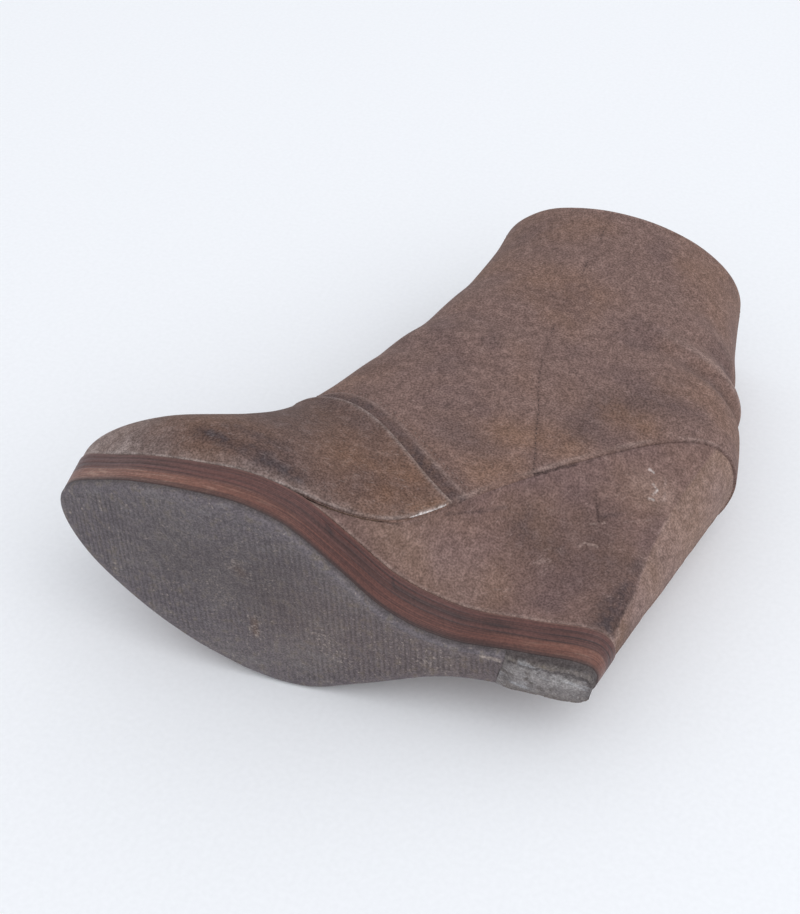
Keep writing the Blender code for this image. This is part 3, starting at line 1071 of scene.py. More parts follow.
@dataclass(frozen=True)
class TreadRubber:
    """Thin moulded rubber sheet: grey, dull, dusty and stained by the ground, with pale grit pressed in."""

    name: str
    rubber: str = "#676064"
    worn: str = "#706a6a"
    groove: str = "#4b4545"
    stain: str = "#6a5548"
    earth: str = "#665d52"
    dust: str = "#7a7473"
    side: str = "#4b4444"
    grit: str = "#9b8f88"
    smear: str = "#a6a6a6"
    smear_share: float = 0.08
    smear_mm: Place = (9.0, 3.0, 2.0)
    smear_turn: Place = (0.0, 0.25, 0.0)
    cloud_mm: float = 14.0
    mottle_mm: float = 3.2
    grit_mm: float = 1.3
    grain_mm: float = 0.7

    def material(self, boot: BootFrame, fine: tuple[Mark, ...] = ()) -> Material:
        """Cloudy grey with earth, dust, grit and smears, and the groove, wear, stain and side fields.

        Args:
            boot: Where the boot lies.
            fine: Marks too fine for the mesh.

        Returns:
            The material.
        """
        finish = Finish(self.name, 0.75, 0.25)
        tree, place, paint = finish.tree, finish.place, finish.paint
        sizes = ((self.cloud_mm, 3.0), (self.mottle_mm, 3.0), (self.grit_mm, 2.0), (self.grain_mm, 1.0))
        cloud, mottle, grit, grain = [
            add_node(tree, "TexNoise", {"Vector": place, "Scale": per_metre(size), "Detail": detail})
            for size, detail in sizes
        ]
        dusty = add_node(tree, "MapRange", {0: cloud, 1: 0.45, 2: 0.7, 3: 0.0, 4: 0.36}, **SOFT)
        earthy = add_node(tree, "MapRange", {0: mottle, 1: 0.48, 2: 0.72, 3: 0.0, 4: 0.6}, **SOFT)
        lifted = add_node(tree, "Math", {0: paint[Paint.PALE], 1: 0.11, 2: grit}, operation="MULTIPLY_ADD")
        specks = add_node(tree, "MapRange", {0: lifted, 1: 0.62, 2: 0.74, 3: 0.0, 4: 0.6}, **SOFT)
        spread = tuple(size * MM for size in self.smear_mm)
        drawn = {"Vector": place, "Rotation": self.smear_turn, "Scale": spread}
        laid = add_node(tree, "Mapping", drawn, vector_type="TEXTURE")
        streak = add_node(tree, "TexNoise", {"Vector": laid, "Scale": 1.0, "Detail": 3.0})
        smear = add_node(tree, "MapRange", {0: streak, 1: 0.5, 2: 0.72, 3: 0.0, 4: self.smear_share}, **SOFT)
        colours = {Paint.PALE: self.grit, Paint.DEEP: self.groove, Paint.GRIME: self.side}
        layers = [
            (dusty, self.dust), (earthy, self.earth), (paint[Paint.RUB], self.worn), (smear, self.smear),
            (paint[Paint.DEEP], self.groove), (paint[Paint.WARM], self.stain), (specks, self.grit),
            (paint[Paint.GRIME], self.side),
        ]
        layers += [(finish.stroke(boot, mark), colours[mark.paint]) for mark in fine]
        colour = finish.layered(linear(self.rubber), layers)
        fine_grain = add_node(tree, "MapRange", {0: grain, 1: 0.3, 2: 0.7, 3: 0.78, 4: 1.22}, **SOFT)
        coarse = add_node(tree, "MapRange", {0: mottle, 1: 0.3, 2: 0.7, 3: 0.86, 4: 1.14}, **SOFT)
        speck = add_node(tree, "Math", {0: fine_grain, 1: coarse}, operation="MULTIPLY")
        bump = add_node(tree, "Bump", {"Height": mottle, "Strength": 0.3, "Distance": 0.4 * MM})
        fine_bump = {"Height": grit, "Strength": 0.35, "Distance": 0.25 * MM, "Normal": bump}
        rough = add_node(tree, "Bump", fine_bump)
        finish.close(colour, speck, rough)
        return finish.material


@dataclass(frozen=True)
class StackedLeather:
    """Edge of stacked leather, dyed and waxed: satin, streaked along its layers, rubbed orange at the toe."""

    name: str
    lower: str = "#4b2f2b"
    lower_light: str = "#653f37"
    toe: str = "#835849"
    upper: str = "#48302d"
    upper_light: str = "#633f3a"
    line: str = "#2f2526"
    rub: str = "#a58676"
    long_streak_mm: tuple[float, float] = (70.0, 0.6)
    short_streak_mm: tuple[float, float] = (9.0, 1.1)
    grain_mm: float = 0.9
    wander_mm: float = 6.0
    side_mm: float = 15.0
    lower_share: float = 0.4
    band_soft: float = 0.2
    wax: float = 0.15
    wax_roughness: float = 0.4

    def material(self) -> Material:
        """Bands by height, streaks drawn out along the run, dark grooves, rubbed edges and an orange toe.

        Returns:
            The material.
        """
        finish = Finish(self.name, 0.52, 0.35, gloss_span=0.12)
        tree, place, paint = finish.tree, finish.place, finish.paint
        strip = add_node(tree, "CombineXYZ", {0: paint[Paint.RUN], 1: paint[Paint.SHARE]})
        streaks = []
        for length, thick in (self.long_streak_mm, self.short_streak_mm):
            drawn = {0: strip, 1: (1.0 / length, self.side_mm / thick, 0.0)}
            flow = add_node(tree, "VectorMath", drawn, operation="MULTIPLY")
            streaks.append(add_node(tree, "TexNoise", {"Vector": flow, "Scale": 1.0, "Detail": 3.0}))
        grain, wander = [
            add_node(tree, "TexNoise", {"Vector": place, "Scale": per_metre(size), "Detail": 2.0})
            for size in (self.grain_mm, self.wander_mm)
        ]
        edge = add_node(tree, "Math", {0: wander, 1: 0.08, 2: paint[Paint.SHARE]}, operation="MULTIPLY_ADD")
        bounds = {0: edge, 1: self.lower_share, 2: self.lower_share + self.band_soft, 3: 0.0, 4: 1.0}
        band = add_node(tree, "MapRange", bounds, **SOFT)
        fine_lines = add_node(tree, "MapRange", {0: streaks[0], 1: 0.38, 2: 0.6, 3: 0.0, 4: 1.0}, **SOFT)
        dark_lines = add_node(tree, "MapRange", {0: streaks[0], 1: 0.34, 2: 0.52, 3: 0.6, 4: 0.0}, **SOFT)
        rubbed = add_node(tree, "MapRange", {0: streaks[1], 1: 0.5, 2: 0.72, 3: 0.0, 4: 0.55}, **SOFT)
        toe = add_node(tree, "Math", {0: paint[Paint.WARM], 1: rubbed}, operation="MULTIPLY")
        warmth = add_node(tree, "Math", {0: paint[Paint.WARM], 1: 0.8}, operation="MULTIPLY")
        low = finish.layered(linear(self.lower), [
            (fine_lines, self.lower_light), (warmth, self.toe), (dark_lines, self.lower), (toe, self.rub),
        ])
        high = finish.layered(linear(self.upper), [(fine_lines, self.upper_light)])
        colour = add_node(tree, "Mix", {0: band, 6: low, 7: high}, 2, data_type="RGBA")
        # The line colour darkens the grooves, the dark layer and the marks, and lays painted shade along the
        # bottom edge.
        colour = finish.layered(colour, [
            (paint[Paint.GRIME], self.line), (paint[Paint.RUB], self.rub), (paint[Paint.DEEP], self.line),
        ])
        speck = add_node(tree, "MapRange", {0: grain, 1: 0.3, 2: 0.7, 3: 0.84, 4: 1.16}, **SOFT)
        bump = add_node(tree, "Bump", {"Height": streaks[0], "Strength": 0.45, "Distance": 0.35 * MM})
        fine_bump = {"Height": grain, "Strength": 0.3, "Distance": 0.2 * MM, "Normal": bump}
        rough = add_node(tree, "Bump", fine_bump)
        finish.shader.inputs["Coat Weight"].default_value = self.wax
        finish.shader.inputs["Coat Roughness"].default_value = self.wax_roughness
        finish.close(colour, speck, rough)
        return finish.material


@dataclass(frozen=True)
class SmoothLeather:
    """Smooth leather, glazed and rubbed: pores as fine bump and a low gloss."""

    name: str
    colour: str = "#a58a72"
    shade: str = "#8a705b"
    pore_mm: float = 1.4
    cloud_mm: float = 22.0

    def material(self) -> Material:
        """One colour that darkens in clouds, with pores as cells in the bump.

        Returns:
            The material.
        """
        finish = Finish(self.name, 0.58, 0.35)
        tree, place = finish.tree, finish.place
        clouds = {"Vector": place, "Scale": per_metre(self.cloud_mm), "Detail": 3.0}
        cloud = add_node(tree, "TexNoise", clouds)
        pore = add_node(tree, "TexVoronoi", {"Vector": place, "Scale": per_metre(self.pore_mm)})
        dark = add_node(tree, "MapRange", {0: cloud, 1: 0.4, 2: 0.7, 3: 0.0, 4: 0.7}, **SOFT)
        layers = [(dark, self.shade), (finish.paint[Paint.GRIME], self.shade)]
        colour = finish.layered(linear(self.colour), layers)
        speck = add_node(tree, "MapRange", {0: pore, 1: 0.0, 2: 0.8, 3: 1.06, 4: 0.9}, **SOFT)
        bump = add_node(tree, "Bump", {"Height": pore, "Strength": 0.35, "Distance": 0.2 * MM}, invert=True)
        finish.close(colour, speck, bump)
        return finish.material


@dataclass
class Outsole:
    """The thin ribbed tread sheet, from the heel piece's joint to the toe."""

    plan: TreadPlan
    boot: BootFrame
    finish: TreadRubber
    even_stations: int = 760
    toe_stations: int = 40
    across: int = 44
    rib_pitch: float = 2.0
    rib_lean: float = -0.21
    rib_depth: float = 0.2
    border: float = 2.6
    edge_round: float = 1.1
    round_steps: int = 5
    worn_spots: tuple[Place, ...] = ((146.0, 12.0, 24.0), (116.0, -36.0, 18.0))
    stains: tuple[Mark, ...] = (
        Mark(Paint.WARM, (100.0, -6.0, 0.0), (45.0, -6.0, 0.0), 26.0, 0.22),
        Mark(Paint.WARM, (129.0, 9.0, 0.0), (127.0, 7.0, 0.0), 2.2, 0.5),
        Mark(Paint.WARM, (120.5, -16.0, 0.0), (119.0, -23.0, 0.0), 1.7, 0.6),
        Mark(Paint.GRIME, (152.0, 4.0, 0.0), (122.0, 6.0, 0.0), 20.0, 0.45),
        Mark(Paint.PALE, (131.0, 10.0, 0.0), (126.0, 6.0, 0.0), 4.5, 1.0),
        Mark(Paint.PALE, (118.0, 6.0, 0.0), (115.0, 3.0, 0.0), 3.5, 0.9),
        Mark(Paint.PALE, (138.0, 1.0, 0.0), (132.0, -9.0, 0.0), 5.0, 0.9),
        Mark(Paint.PALE, (121.0, -15.0, 0.0), (118.0, -24.0, 0.0), 3.5, 1.0),
        Mark(Paint.PALE, (96.0, -13.0, 0.0), (86.0, -22.0, 0.0), 6.0, 0.9),
        Mark(Paint.PALE, (74.0, -6.0, 0.0), (52.0, -9.0, 0.0), 7.0, 0.5),
    )
    fine_marks: tuple[Mark, ...] = (
        Mark(Paint.DEEP, (136.0, 21.7, 0.0), (135.6, 21.3, 0.0), 0.9, 0.8),
        Mark(Paint.PALE, (39.7, 2.3, 1.5), (33.4, 2.6, 1.6), 1.5, 0.9),
        Mark(Paint.PALE, (131.0, 12.0, 0.0), (130.4, 11.6, 0.0), 0.7, 0.7),
        Mark(Paint.PALE, (118.8, -24.0, 0.0), (118.2, -24.5, 0.0), 0.8, 0.8),
    )

    def build(self) -> Piece:
        """Bottom with ribs, a rounded edge, the side of the sheet and its flat top.

        Returns:
            The tread sheet.
        """
        plan = self.plan
        joint = plan.heel_piece_length + plan.gap
        turns = plan.stations(joint, plan.length, self.even_stations, self.toe_stations)
        edges = plan.edges(turns)
        theta = np.linspace(0, np.pi / 2, self.round_steps + 1)
        insets = np.append(self.edge_round * (1 - np.sin(theta)), 0.0)
        heights = np.append(self.edge_round * (1 - np.cos(theta)), plan.thickness)[:, None]
        grime = {Paint.GRIME: 0.85 * ease(heights / plan.thickness)}
        sides = []
        for edge in np.stack([plan.pushed(*edges, -inset) for inset in insets], axis=1):
            up = plan.bottom(edge[..., 0]) + heights
            sides.append(Sheet(np.concatenate([edge, up[..., None]], axis=-1), grime))
        hull = Hull()
        hull.block(*sides, self.bottom_sheet(*(side.points[0] for side in sides)), (0,))
        piece = hull.build("outsole_ribbed", self.boot, self.finish.material(self.boot, self.fine_marks))
        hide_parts("outsole")
        return piece

    def bottom_sheet(self, inner: Array, outer: Array) -> Sheet:
        """The face that walks on the ground: fine ribs across it, shallower at the border and where worn.

        A rib's groove is a raised cosine of the way along, cut upwards into the sheet.

        Args:
            inner: Points of the inner edge.
            outer: Points of the outer edge.

        Returns:
            The grid with its groove, wear and stain fields.
        """
        share = np.linspace(0, 1, self.across + 1)[:, None]
        points = inner[:, None] + (outer - inner)[:, None] * share
        width = np.linalg.norm(outer - inner, axis=1)[:, None]
        from_edge = width * np.minimum(share, 1 - share)[:, 0]
        lean = points[..., 0] + self.rib_lean * points[..., 1]
        groove = (0.5 - 0.5 * np.cos(2 * np.pi * lean / self.rib_pitch)) ** 1.4
        wear = np.zeros(points.shape[:-1])
        for along, side, radius in self.worn_spots:
            wear = np.maximum(wear, bell(np.hypot(points[..., 0] - along, points[..., 1] - side), radius))
        wear = np.clip(wear + 0.3 * waves(points, 22.0, 1) + 0.15 * waves(points, 7.0, 2), 0, 1)
        shown = ease((from_edge - self.border / 2) / self.border) * (1 - 0.85 * wear)
        points[..., 2] += self.rib_depth * groove * shown
        paint = painted(points, self.stains)
        paint[Paint.DEEP] = 0.5 * groove * shown
        paint[Paint.RUB] = 0.3 * wear
        return Sheet(points, paint)


@dataclass
class HeelPiece:
    """The block of harder rubber under the heel, with a ragged worn edge and scoured face."""

    plan: TreadPlan
    boot: BootFrame
    finish: TreadRubber
    thickness: float = 4.6
    stations: int = 110
    across: int = 34
    edge_round: float = 1.0
    ragged: float = 0.6
    joint_slope: float = 6.0
    joint_rise: float = 1.4
    pit_depth: float = 0.18
    dirt_shares: tuple[float, float] = (0.06, 0.2)
    round_steps: int = 5
    side_steps: int = 7
    fine_marks: tuple[Mark, ...] = (
        Mark(Paint.PALE, (24.0, 2.0, 0.0), (8.0, 4.0, 0.0), 6.0, 0.3),
        Mark(Paint.PALE, (13.0, 4.5, 0.0), (7.0, 4.0, 0.0), 3.5, 0.4),
        Mark(Paint.PALE, (31.0, 6.5, 0.3), (22.0, 8.0, 0.0), 0.9, 0.5),
        Mark(Paint.GRIME, (1.5, 8.5, 0.0), (0.5, 0.0, 0.0), 2.0, 0.5),
    )

    def build(self) -> Piece:
        """Bottom, chipped round edge, sides, the joint's face and the flat top.

        Returns:
            The heel piece.
        """
        plan = self.plan
        turns = plan.stations(0.0, plan.heel_piece_length, self.stations, self.stations // 2)
        edges = plan.edges(turns)
        middle = (edges[0] + edges[1]) / 2
        theta = np.linspace(0, np.pi / 2, self.round_steps + 1)
        climb = np.linspace(self.edge_round, self.thickness, self.side_steps + 1)[1:]
        insets = np.append(self.edge_round * (1 - np.sin(theta)), np.zeros(self.side_steps))
        heights = np.append(self.edge_round * (1 - np.cos(theta)), climb)[:, None]
        from_top = 1 - heights / self.thickness
        grime = {Paint.GRIME: 0.9 * ease(heights / self.thickness * 2.2)}
        sides = []
        for edge in np.stack([plan.pushed(*edges, -inset) for inset in insets], axis=1):
            up = np.broadcast_to(heights[..., None], (*edge.shape[:2], 1))
            points = np.concatenate([edge, up], axis=-1)
            chips = np.clip(0.6 * waves(points, 4.0, 5) + waves(points, 1.4, 6), 0, 1) * self.ragged
            points[..., :2] += unit(middle - edge) * (chips * from_top**0.5)[..., None]
            points[..., 2] += self.worn_off(points[..., 0]) * from_top
            sides.append(Sheet(points, grime))
        hull = Hull()
        hull.block(*sides, self.worn_face(*(side.points[0] for side in sides)), (0, -1))
        piece = hull.build("heel_piece_worn", self.boot, self.finish.material(self.boot, self.fine_marks))
        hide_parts("heel_piece")
        return piece

    def worn_off(self, along: Array) -> Array:
        """How much is worn off towards the joint, where the face runs up to the tread's."""
        start = self.plan.heel_piece_length - self.joint_slope
        return self.joint_rise * ease((along - start) / self.joint_slope)

    def worn_face(self, inner: Array, outer: Array) -> Sheet:
        """The face that stands on the ground, pitted and scoured: hollows where two wave fields run high.

        Dirt lies along its inner edge, wider towards the back, with a ragged border.

        Args:
            inner: Points of its inner edge.
            outer: Points of its outer edge.

        Returns:
            The grid with its hollow and rub fields.
        """
        share = np.linspace(0, 1, self.across + 1)[:, None]
        points = inner[:, None] + (outer - inner)[:, None] * share
        within = np.sin(np.pi * share[:, 0]) ** 0.5
        pits = np.clip(waves(points, 6.0, 7) + 0.5 * waves(points, 2.0, 8) - 0.3, 0, 1) * within
        points[..., 2] += self.pit_depth * pits
        narrow, wide = self.dirt_shares
        border = wide + (narrow - wide) * points[..., 0] / self.plan.heel_piece_length
        border = border + 0.06 * waves(points, 3.2, 10) + 0.05 * waves(points, 1.5, 11)
        dirt = 0.8 * ease((border - share[:, 0]) / 0.06 + 0.5)
        rub = 0.7 * (1 - pits) * within
        return Sheet(points, {Paint.DEEP: 0.7 * pits, Paint.RUB: rub, Paint.GRIME: dirt})


@dataclass
class PlatformStrip:
    """The platform with its stacked strip all round, grooved between the layers, and spliced at the waist."""

    plan: TreadPlan
    boot: BootFrame
    finish: StackedLeather
    stations: int = 520
    round_stations: int = 160
    levels: int = 46
    lines: tuple[float, ...] = (0.48, 0.65, 0.82)
    groove_width: float = 0.03
    groove_depth: float = 0.12
    edge_round: float = 0.35
    splice: float = 75.0
    orange_span: tuple[float, float] = (95.0, 180.0)
    heel_span: tuple[float, float] = (8.0, 48.0)
    marks: tuple[Mark, ...] = (
        Mark(Paint.GRIME, (77.5, 10.5, 15.6), (75.5, 9.8, 12.8), 0.7, 0.8),
        Mark(Paint.GRIME, (103.5, 28.0, 14.6), (101.0, 26.6, 13.2), 0.9, 0.7),
        Mark(Paint.RUB, (190.0, 16.5, 15.6), (186.5, 19.0, 13.0), 1.0, 0.5),
        Mark(Paint.RUB, (187.0, 18.5, 16.0), (183.5, 21.0, 13.4), 0.8, 0.4),
    )

    def build(self) -> Piece:
        """Both sides as one band from tread to wedge, with grooves and soft edges, and its top and bottom.

        Returns:
            The platform with its strip.
        """
        plan = self.plan
        turns = plan.stations(plan.first, plan.length, self.stations, self.round_stations)
        edges = plan.edges(turns)
        flare = plan.flare_at(edges[0][:, 0])
        near_lines = [line + np.linspace(-self.groove_width, self.groove_width, 7) for line in self.lines]
        share = np.unique(np.concatenate([np.linspace(0, 1, self.levels), *near_lines]))
        groove = sum(bell(share - line, self.groove_width) for line in self.lines)
        height = plan.platform_top - plan.thickness - plan.gap
        corner = rounded(share * height, self.edge_round) + rounded((1 - share) * height, self.edge_round)
        levels = [
            plan.pushed(*edges, flare * part - self.groove_depth * cut - fall)
            for part, cut, fall in zip(share, groove, corner)
        ]
        hull = Hull()
        sides = []
        whole = arc_length(edges[0])[-1]
        for edge, plain in zip(np.stack(levels, axis=1), edges):
            foot = plan.bottom(edge[..., 0]) + plan.thickness + plan.gap
            up = foot + (plan.platform_top + plan.spring(edge[..., 0]) - foot) * share[:, None]
            points = np.concatenate([edge, up[..., None]], axis=-1)
            run = arc_length(plain)
            paint = self.paint(points, share[:, None], groove[:, None])
            paint[Paint.RUN] = run * whole / run[-1]
            hull.sheet(Sheet(points, paint))
            sides.append(points)
        for level in (0, -1):
            rim = np.stack([points[level] for points in sides], axis=1)
            hull.sheet(Sheet(rim, {Paint.SHARE: np.ones(1)}))
        piece = hull.build("platform_strip", self.boot, self.finish.material())
        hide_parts("platform")
        return piece

    def paint(self, points: Array, share: Array, groove: Array) -> Fields:
        """Heights, dark grooves, a dark layer behind the splice, painted shade along the bottom edge, rubbed
        edges, warm at toe and heel.

        Args:
            points: One side's grid.
            share: Heights as shares, a column.
            groove: How deep the grooves are there, a column.

        Returns:
            The painted fields.
        """
        paint = painted(points, self.marks)
        wander = 0.5 + 0.5 * waves(points, 18.0, 9)
        behind = 1 - ease((points[..., 0] - self.splice) / 2.0)
        start, end = self.orange_span
        back, front = self.heel_span
        heel = 1 - ease((points[..., 0] - back) / (front - back))
        paint[Paint.SHARE] = share
        paint[Paint.DEEP] = np.clip(groove * (0.15 + 0.3 * wander + 0.15 * behind), 0, 1)
        dark = 0.55 * behind * (1 - 0.6 * heel) * (0.6 + 0.6 * wander)
        # A dark layer behind the splice, and painted shade along the bottom edge at the joint with the tread.
        band = dark * bell(share - 0.66, 0.13) + 0.8 * bell(share, 0.11)
        lay(paint, Paint.GRIME, np.clip(band, 0, 1))
        lay(paint, Paint.WARM, ease((points[..., 0] - start) / (end - start)), 0.5 * heel)
        lay(paint, Paint.RUB, 0.4 * bell(1 - share, 0.04) * (0.3 + 0.7 * wander))
        return paint


@dataclass
class WedgeCover:
    """The high wedge in its suede cover, with rolled edges, a seam behind, and its dirt and scratches."""

    last: Last
    boot: BootFrame
    finish: Suede
    stations: int = 281
    levels: int = 111
    tip_row: float = 4.7
    hollow: float = 1.2
    strip_proud: float = 0.7
    upper_proud: float = 0.8
    edge_round: float = 0.7
    seam_depth: float = 0.35
    seam_width: float = 0.5
    crowding: float = 1.7
    # Each height, and where the corner of the face behind lies along the boot there.
    corner: tuple[Station, ...] = (
        Station(18.0, -2.4),
        Station(30.0, -3.2),
        Station(40.0, -5.4),
        Station(52.0, -6.6),
        Station(66.0, -8.8),
        Station(90.0, -15.0),
        Station(119.0, -25.0),
    )
    marks: tuple[Mark, ...] = (
        Mark(Paint.GRIME, (37.0, 16.5, 53.0), (21.0, 13.8, 44.0), 10.0, 0.42),
        Mark(Paint.GRIME, (30.0, 17.0, 57.0), (12.0, 17.5, 57.0), 8.0, 0.34),
        Mark(Paint.GRIME, (21.0, 13.8, 44.0), (-2.0, 15.5, 46.0), 9.0, 0.42),
        Mark(Paint.GRIME, (2.5, 12.4, 19.0), (0.5, 14.0, 30.0), 5.5, 0.95),
        Mark(Paint.GRIME, (0.5, 14.0, 30.0), (-3.4, 14.5, 41.0), 4.5, 0.8),
        Mark(Paint.GRIME, (-3.4, 14.5, 41.0), (-5.0, 16.0, 52.0), 4.0, 0.45),
        Mark(Paint.GRIME, (-5.0, 16.0, 52.0), (-7.5, 21.0, 80.0), 3.0, 0.25),
        Mark(Paint.RUB, (84.0, 22.0, 26.0), (55.0, 9.0, 26.0), 12.0, 0.2),
        Mark(Paint.RUB, (-2.0, 24.0, 84.0), (-8.0, 22.0, 84.0), 7.0, 0.3),
    )
    fine_marks: tuple[Mark, ...] = (
        Mark(Paint.DEEP, (16.9, 23.0, 75.8), (15.4, 21.4, 71.0), 0.7, 0.35),
        Mark(Paint.DEEP, (15.4, 21.4, 71.0), (12.7, 19.1, 64.1), 0.8, 0.5),
        Mark(Paint.DEEP, (12.7, 19.1, 64.1), (10.6, 19.9, 66.8), 0.7, 0.3),
        Mark(Paint.PALE, (-0.6, 26.3, 91.8), (-2.3, 25.7, 91.1), 0.9, 0.5),
        Mark(Paint.PALE, (-3.3, 24.1, 86.5), (-5.1, 23.3, 84.7), 0.8, 0.3),
        Mark(Paint.PALE, (-5.1, 23.3, 84.7), (-4.2, 22.8, 82.2), 0.8, 0.3),
        Mark(Paint.PALE, (-2.8, 22.5, 80.0), (-4.6, 22.3, 80.2), 0.9, 0.45),
        Mark(Paint.RUB, (-7.3, 24.6, 90.4), (-8.6, 22.0, 82.0), 1.0, 0.6),
        Mark(Paint.GRIME, (66.0, 23.5, 40.6), (55.1, 21.4, 48.8), 1.2, 0.3),
        Mark(Paint.GRIME, (55.1, 21.4, 48.8), (46.1, 21.1, 55.6), 1.2, 0.3),
        Mark(Paint.GRIME, (12.4, 19.9, 66.7), (5.3, 20.5, 69.9), 1.6, 0.3),
        Mark(Paint.RUB, (15.4, 18.6, 62.1), (10.5, 19.2, 64.4), 0.8, 0.5),
        Mark(Paint.RUB, (3.9, 19.8, 67.3), (-5.3, 20.2, 71.7), 0.7, 0.3),
        Mark(Paint.RUB, (17.2, 16.1, 51.9), (15.9, 16.7, 54.3), 0.8, 0.5),
        Mark(Paint.RUB, (15.9, 16.7, 54.3), (14.0, 16.6, 53.5), 0.8, 0.5),
        Mark(Paint.RUB, (14.0, 16.6, 54.2), (11.0, 16.8, 54.0), 0.9, 0.5),
        Mark(Paint.RUB, (29.3, 14.0, 47.3), (26.7, 14.7, 49.1), 0.8, 0.4),
        Mark(Paint.RUB, (30.9, 12.2, 41.5), (26.3, 13.4, 43.7), 1.6, 0.35),
        Mark(Paint.RUB, (43.0, 7.4, 27.5), (37.0, 8.5, 29.2), 0.7, 0.4),
        Mark(Paint.DEEP, (-1.6, 12.4, 22.5), (-2.9, 13.0, 30.0), 1.8, 0.4),
        Mark(Paint.DEEP, (-2.9, 13.0, 30.0), (-5.2, 13.8, 40.0), 1.5, 0.35),
        # Painted shade in the crevice under the upper's edge, along the feather line.
        Mark(Paint.DEEP, (40.0, 27.5, 69.0), (26.3, 28.0, 80.3), 0.8, 0.75),
        Mark(Paint.DEEP, (26.3, 28.0, 80.3), (20.7, 28.4, 85.0), 0.6, 0.5),
        # Painted shadow under the vamp's lip at the waist.
        Mark(Paint.DEEP, (97.0, 30.0, 22.3), (87.7, 27.1, 24.6), 0.9, 0.5),
        Mark(Paint.DEEP, (87.7, 27.1, 24.6), (81.5, 25.7, 27.4), 0.8, 0.5),
    )

    def rings(self) -> tuple[list[Array], list[Array], list[Array]]:
        """The low and the high edge of both sides, and each station's share of the full height.

        The high edge follows the feather line, the low one the platform's top, and all lines between them
        lean back as the line of the heel does, by the same share of their height.

        Returns:
            Low edges, high edges and shares, inner side first.
        """
        last, plan = self.last, self.last.plan
        way = np.linspace(0, 1, self.stations)
        rows = last.heel_row - (last.heel_row - self.tip_row) * way**self.crowding
        high = last.feather_edges(rows, -self.upper_proud)
        lows, highs, shares = [], [], []
        for side in (0, 1):
            rise = (high[side][:, 2] - plan.platform_top) / (high[side][0, 2] - plan.platform_top)
            along = high[side][:, 0] + (plan.first - high[side][0, 0]) * rise
            edges = plan.edges(plan.turn_of(along))
            edge = plan.pushed(*edges, plan.flare_at(along) - self.strip_proud)[side]
            lows.append(np.column_stack([edge, np.full(len(edge), plan.platform_top + plan.gap)]))
            highs.append(high[side] - (0.0, 0.0, plan.gap))
            shares.append((highs[side][:, 2] - plan.platform_top) / (highs[side][0, 2] - plan.platform_top))
        return lows, highs, shares

    def build(self) -> Piece:
        """Both sides ruled from low to high edge, a little hollow, with their edges rolled in.

        Returns:
            The wedge.
        """
        lows, highs, shares = self.rings()
        part = np.linspace(0, 1, self.levels)[:, None]
        hull = Hull()
        numbers = []
        for low, high, share, side in zip(lows, highs, shares, Side):
            points = low + (high - low) * part[..., None]
            points[..., 1] -= side.value * self.hollow * np.sin(np.pi * part) * np.sin(np.pi * share)
            normal = grid_normals(points, np.array((-0.3, side.value, 0.0)))
            length = np.linalg.norm(high - low, axis=1)
            from_low, from_high = length * part, length * (1 - part)
            from_back = arc_length(points)
            roll = 0.7 * (rounded(from_low, self.edge_round) + rounded(from_high, self.edge_round))
            seam = self.seam_depth * bell(from_back, self.seam_width) - 0.2 * bell(from_back - 1.6, 0.9)
            swell = 0.18 * waves(points, 24.0, 21) + 0.07 * waves(points, 8.0, 22)
            swell *= ease(np.minimum(from_low, from_high) / 4.0)
            moved = swell - np.minimum(roll, 0.45 * length) - np.where(length > 12, seam, 0.0)
            points = points + normal * moved[..., None]
            paint = self.paint(points, from_low, from_high)
            lay(paint, Paint.DEEP, 0.5 * bell(from_back, 0.35))
            numbers.append(hull.sheet(Sheet(points, paint)))
        for level in (0, -1):
            inner, outer = numbers[0][level], numbers[1][level]
            hull.polygons(np.stack([inner[:-1], inner[1:], outer[1:], outer[:-1]], axis=-1))
        hull.polygons(np.concatenate([numbers[0][:, -1], numbers[1][::-1, -1]])[None])
        piece = hull.build("wedge_cover", self.boot, self.finish.material(self.boot, self.fine_marks))
        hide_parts("wedge")
        return piece

    def paint(self, points: Array, from_low: Array, from_high: Array) -> Fields:
        """Rubbed low edge, painted shade along the high edge, dirt up to the corner of the lighter face
        behind, and the marks.

        Args:
            points: One side's grid.
            from_low: Distances from its low edge.
            from_high: Distances from its high edge.

        Returns:
            The painted fields.
        """
        paint = painted(points, self.marks)
        wander = 0.5 + 0.5 * waves(points, 14.0, 23)
        corner = smooth(points[..., 2], column(self.corner, "along"), column(self.corner, "value"))
        behind = ease((corner - points[..., 0]) / 1.2)
        paint[Paint.GRIME] *= (1 - behind) * (0.65 + 0.5 * wander)
        # Painted shade along the crevice under the upper's edge, and darker low on the face behind.
        lay(paint, Paint.GRIME, 0.45 * bell(from_high, 1.2) * wander, 0.3 * behind * bell(from_low, 14.0))
        low_edge = 0.65 * bell(from_low - 0.6, 1.0) * (0.5 + 0.6 * wander)
        ridge = 0.55 * bell(corner - points[..., 0] - 1.0, 0.9) * (0.2 + 0.8 * wander)
        # Lighter over the face behind, more so higher up.
        face = 0.3 * behind * ease(from_low / 26.0)
        lay(paint, Paint.RUB, low_edge, face, ridge)
        paint[Paint.WARM] = np.clip(0.45 * waves(points, 30.0, 24) + 0.55 * behind, 0, 1)
        return paint


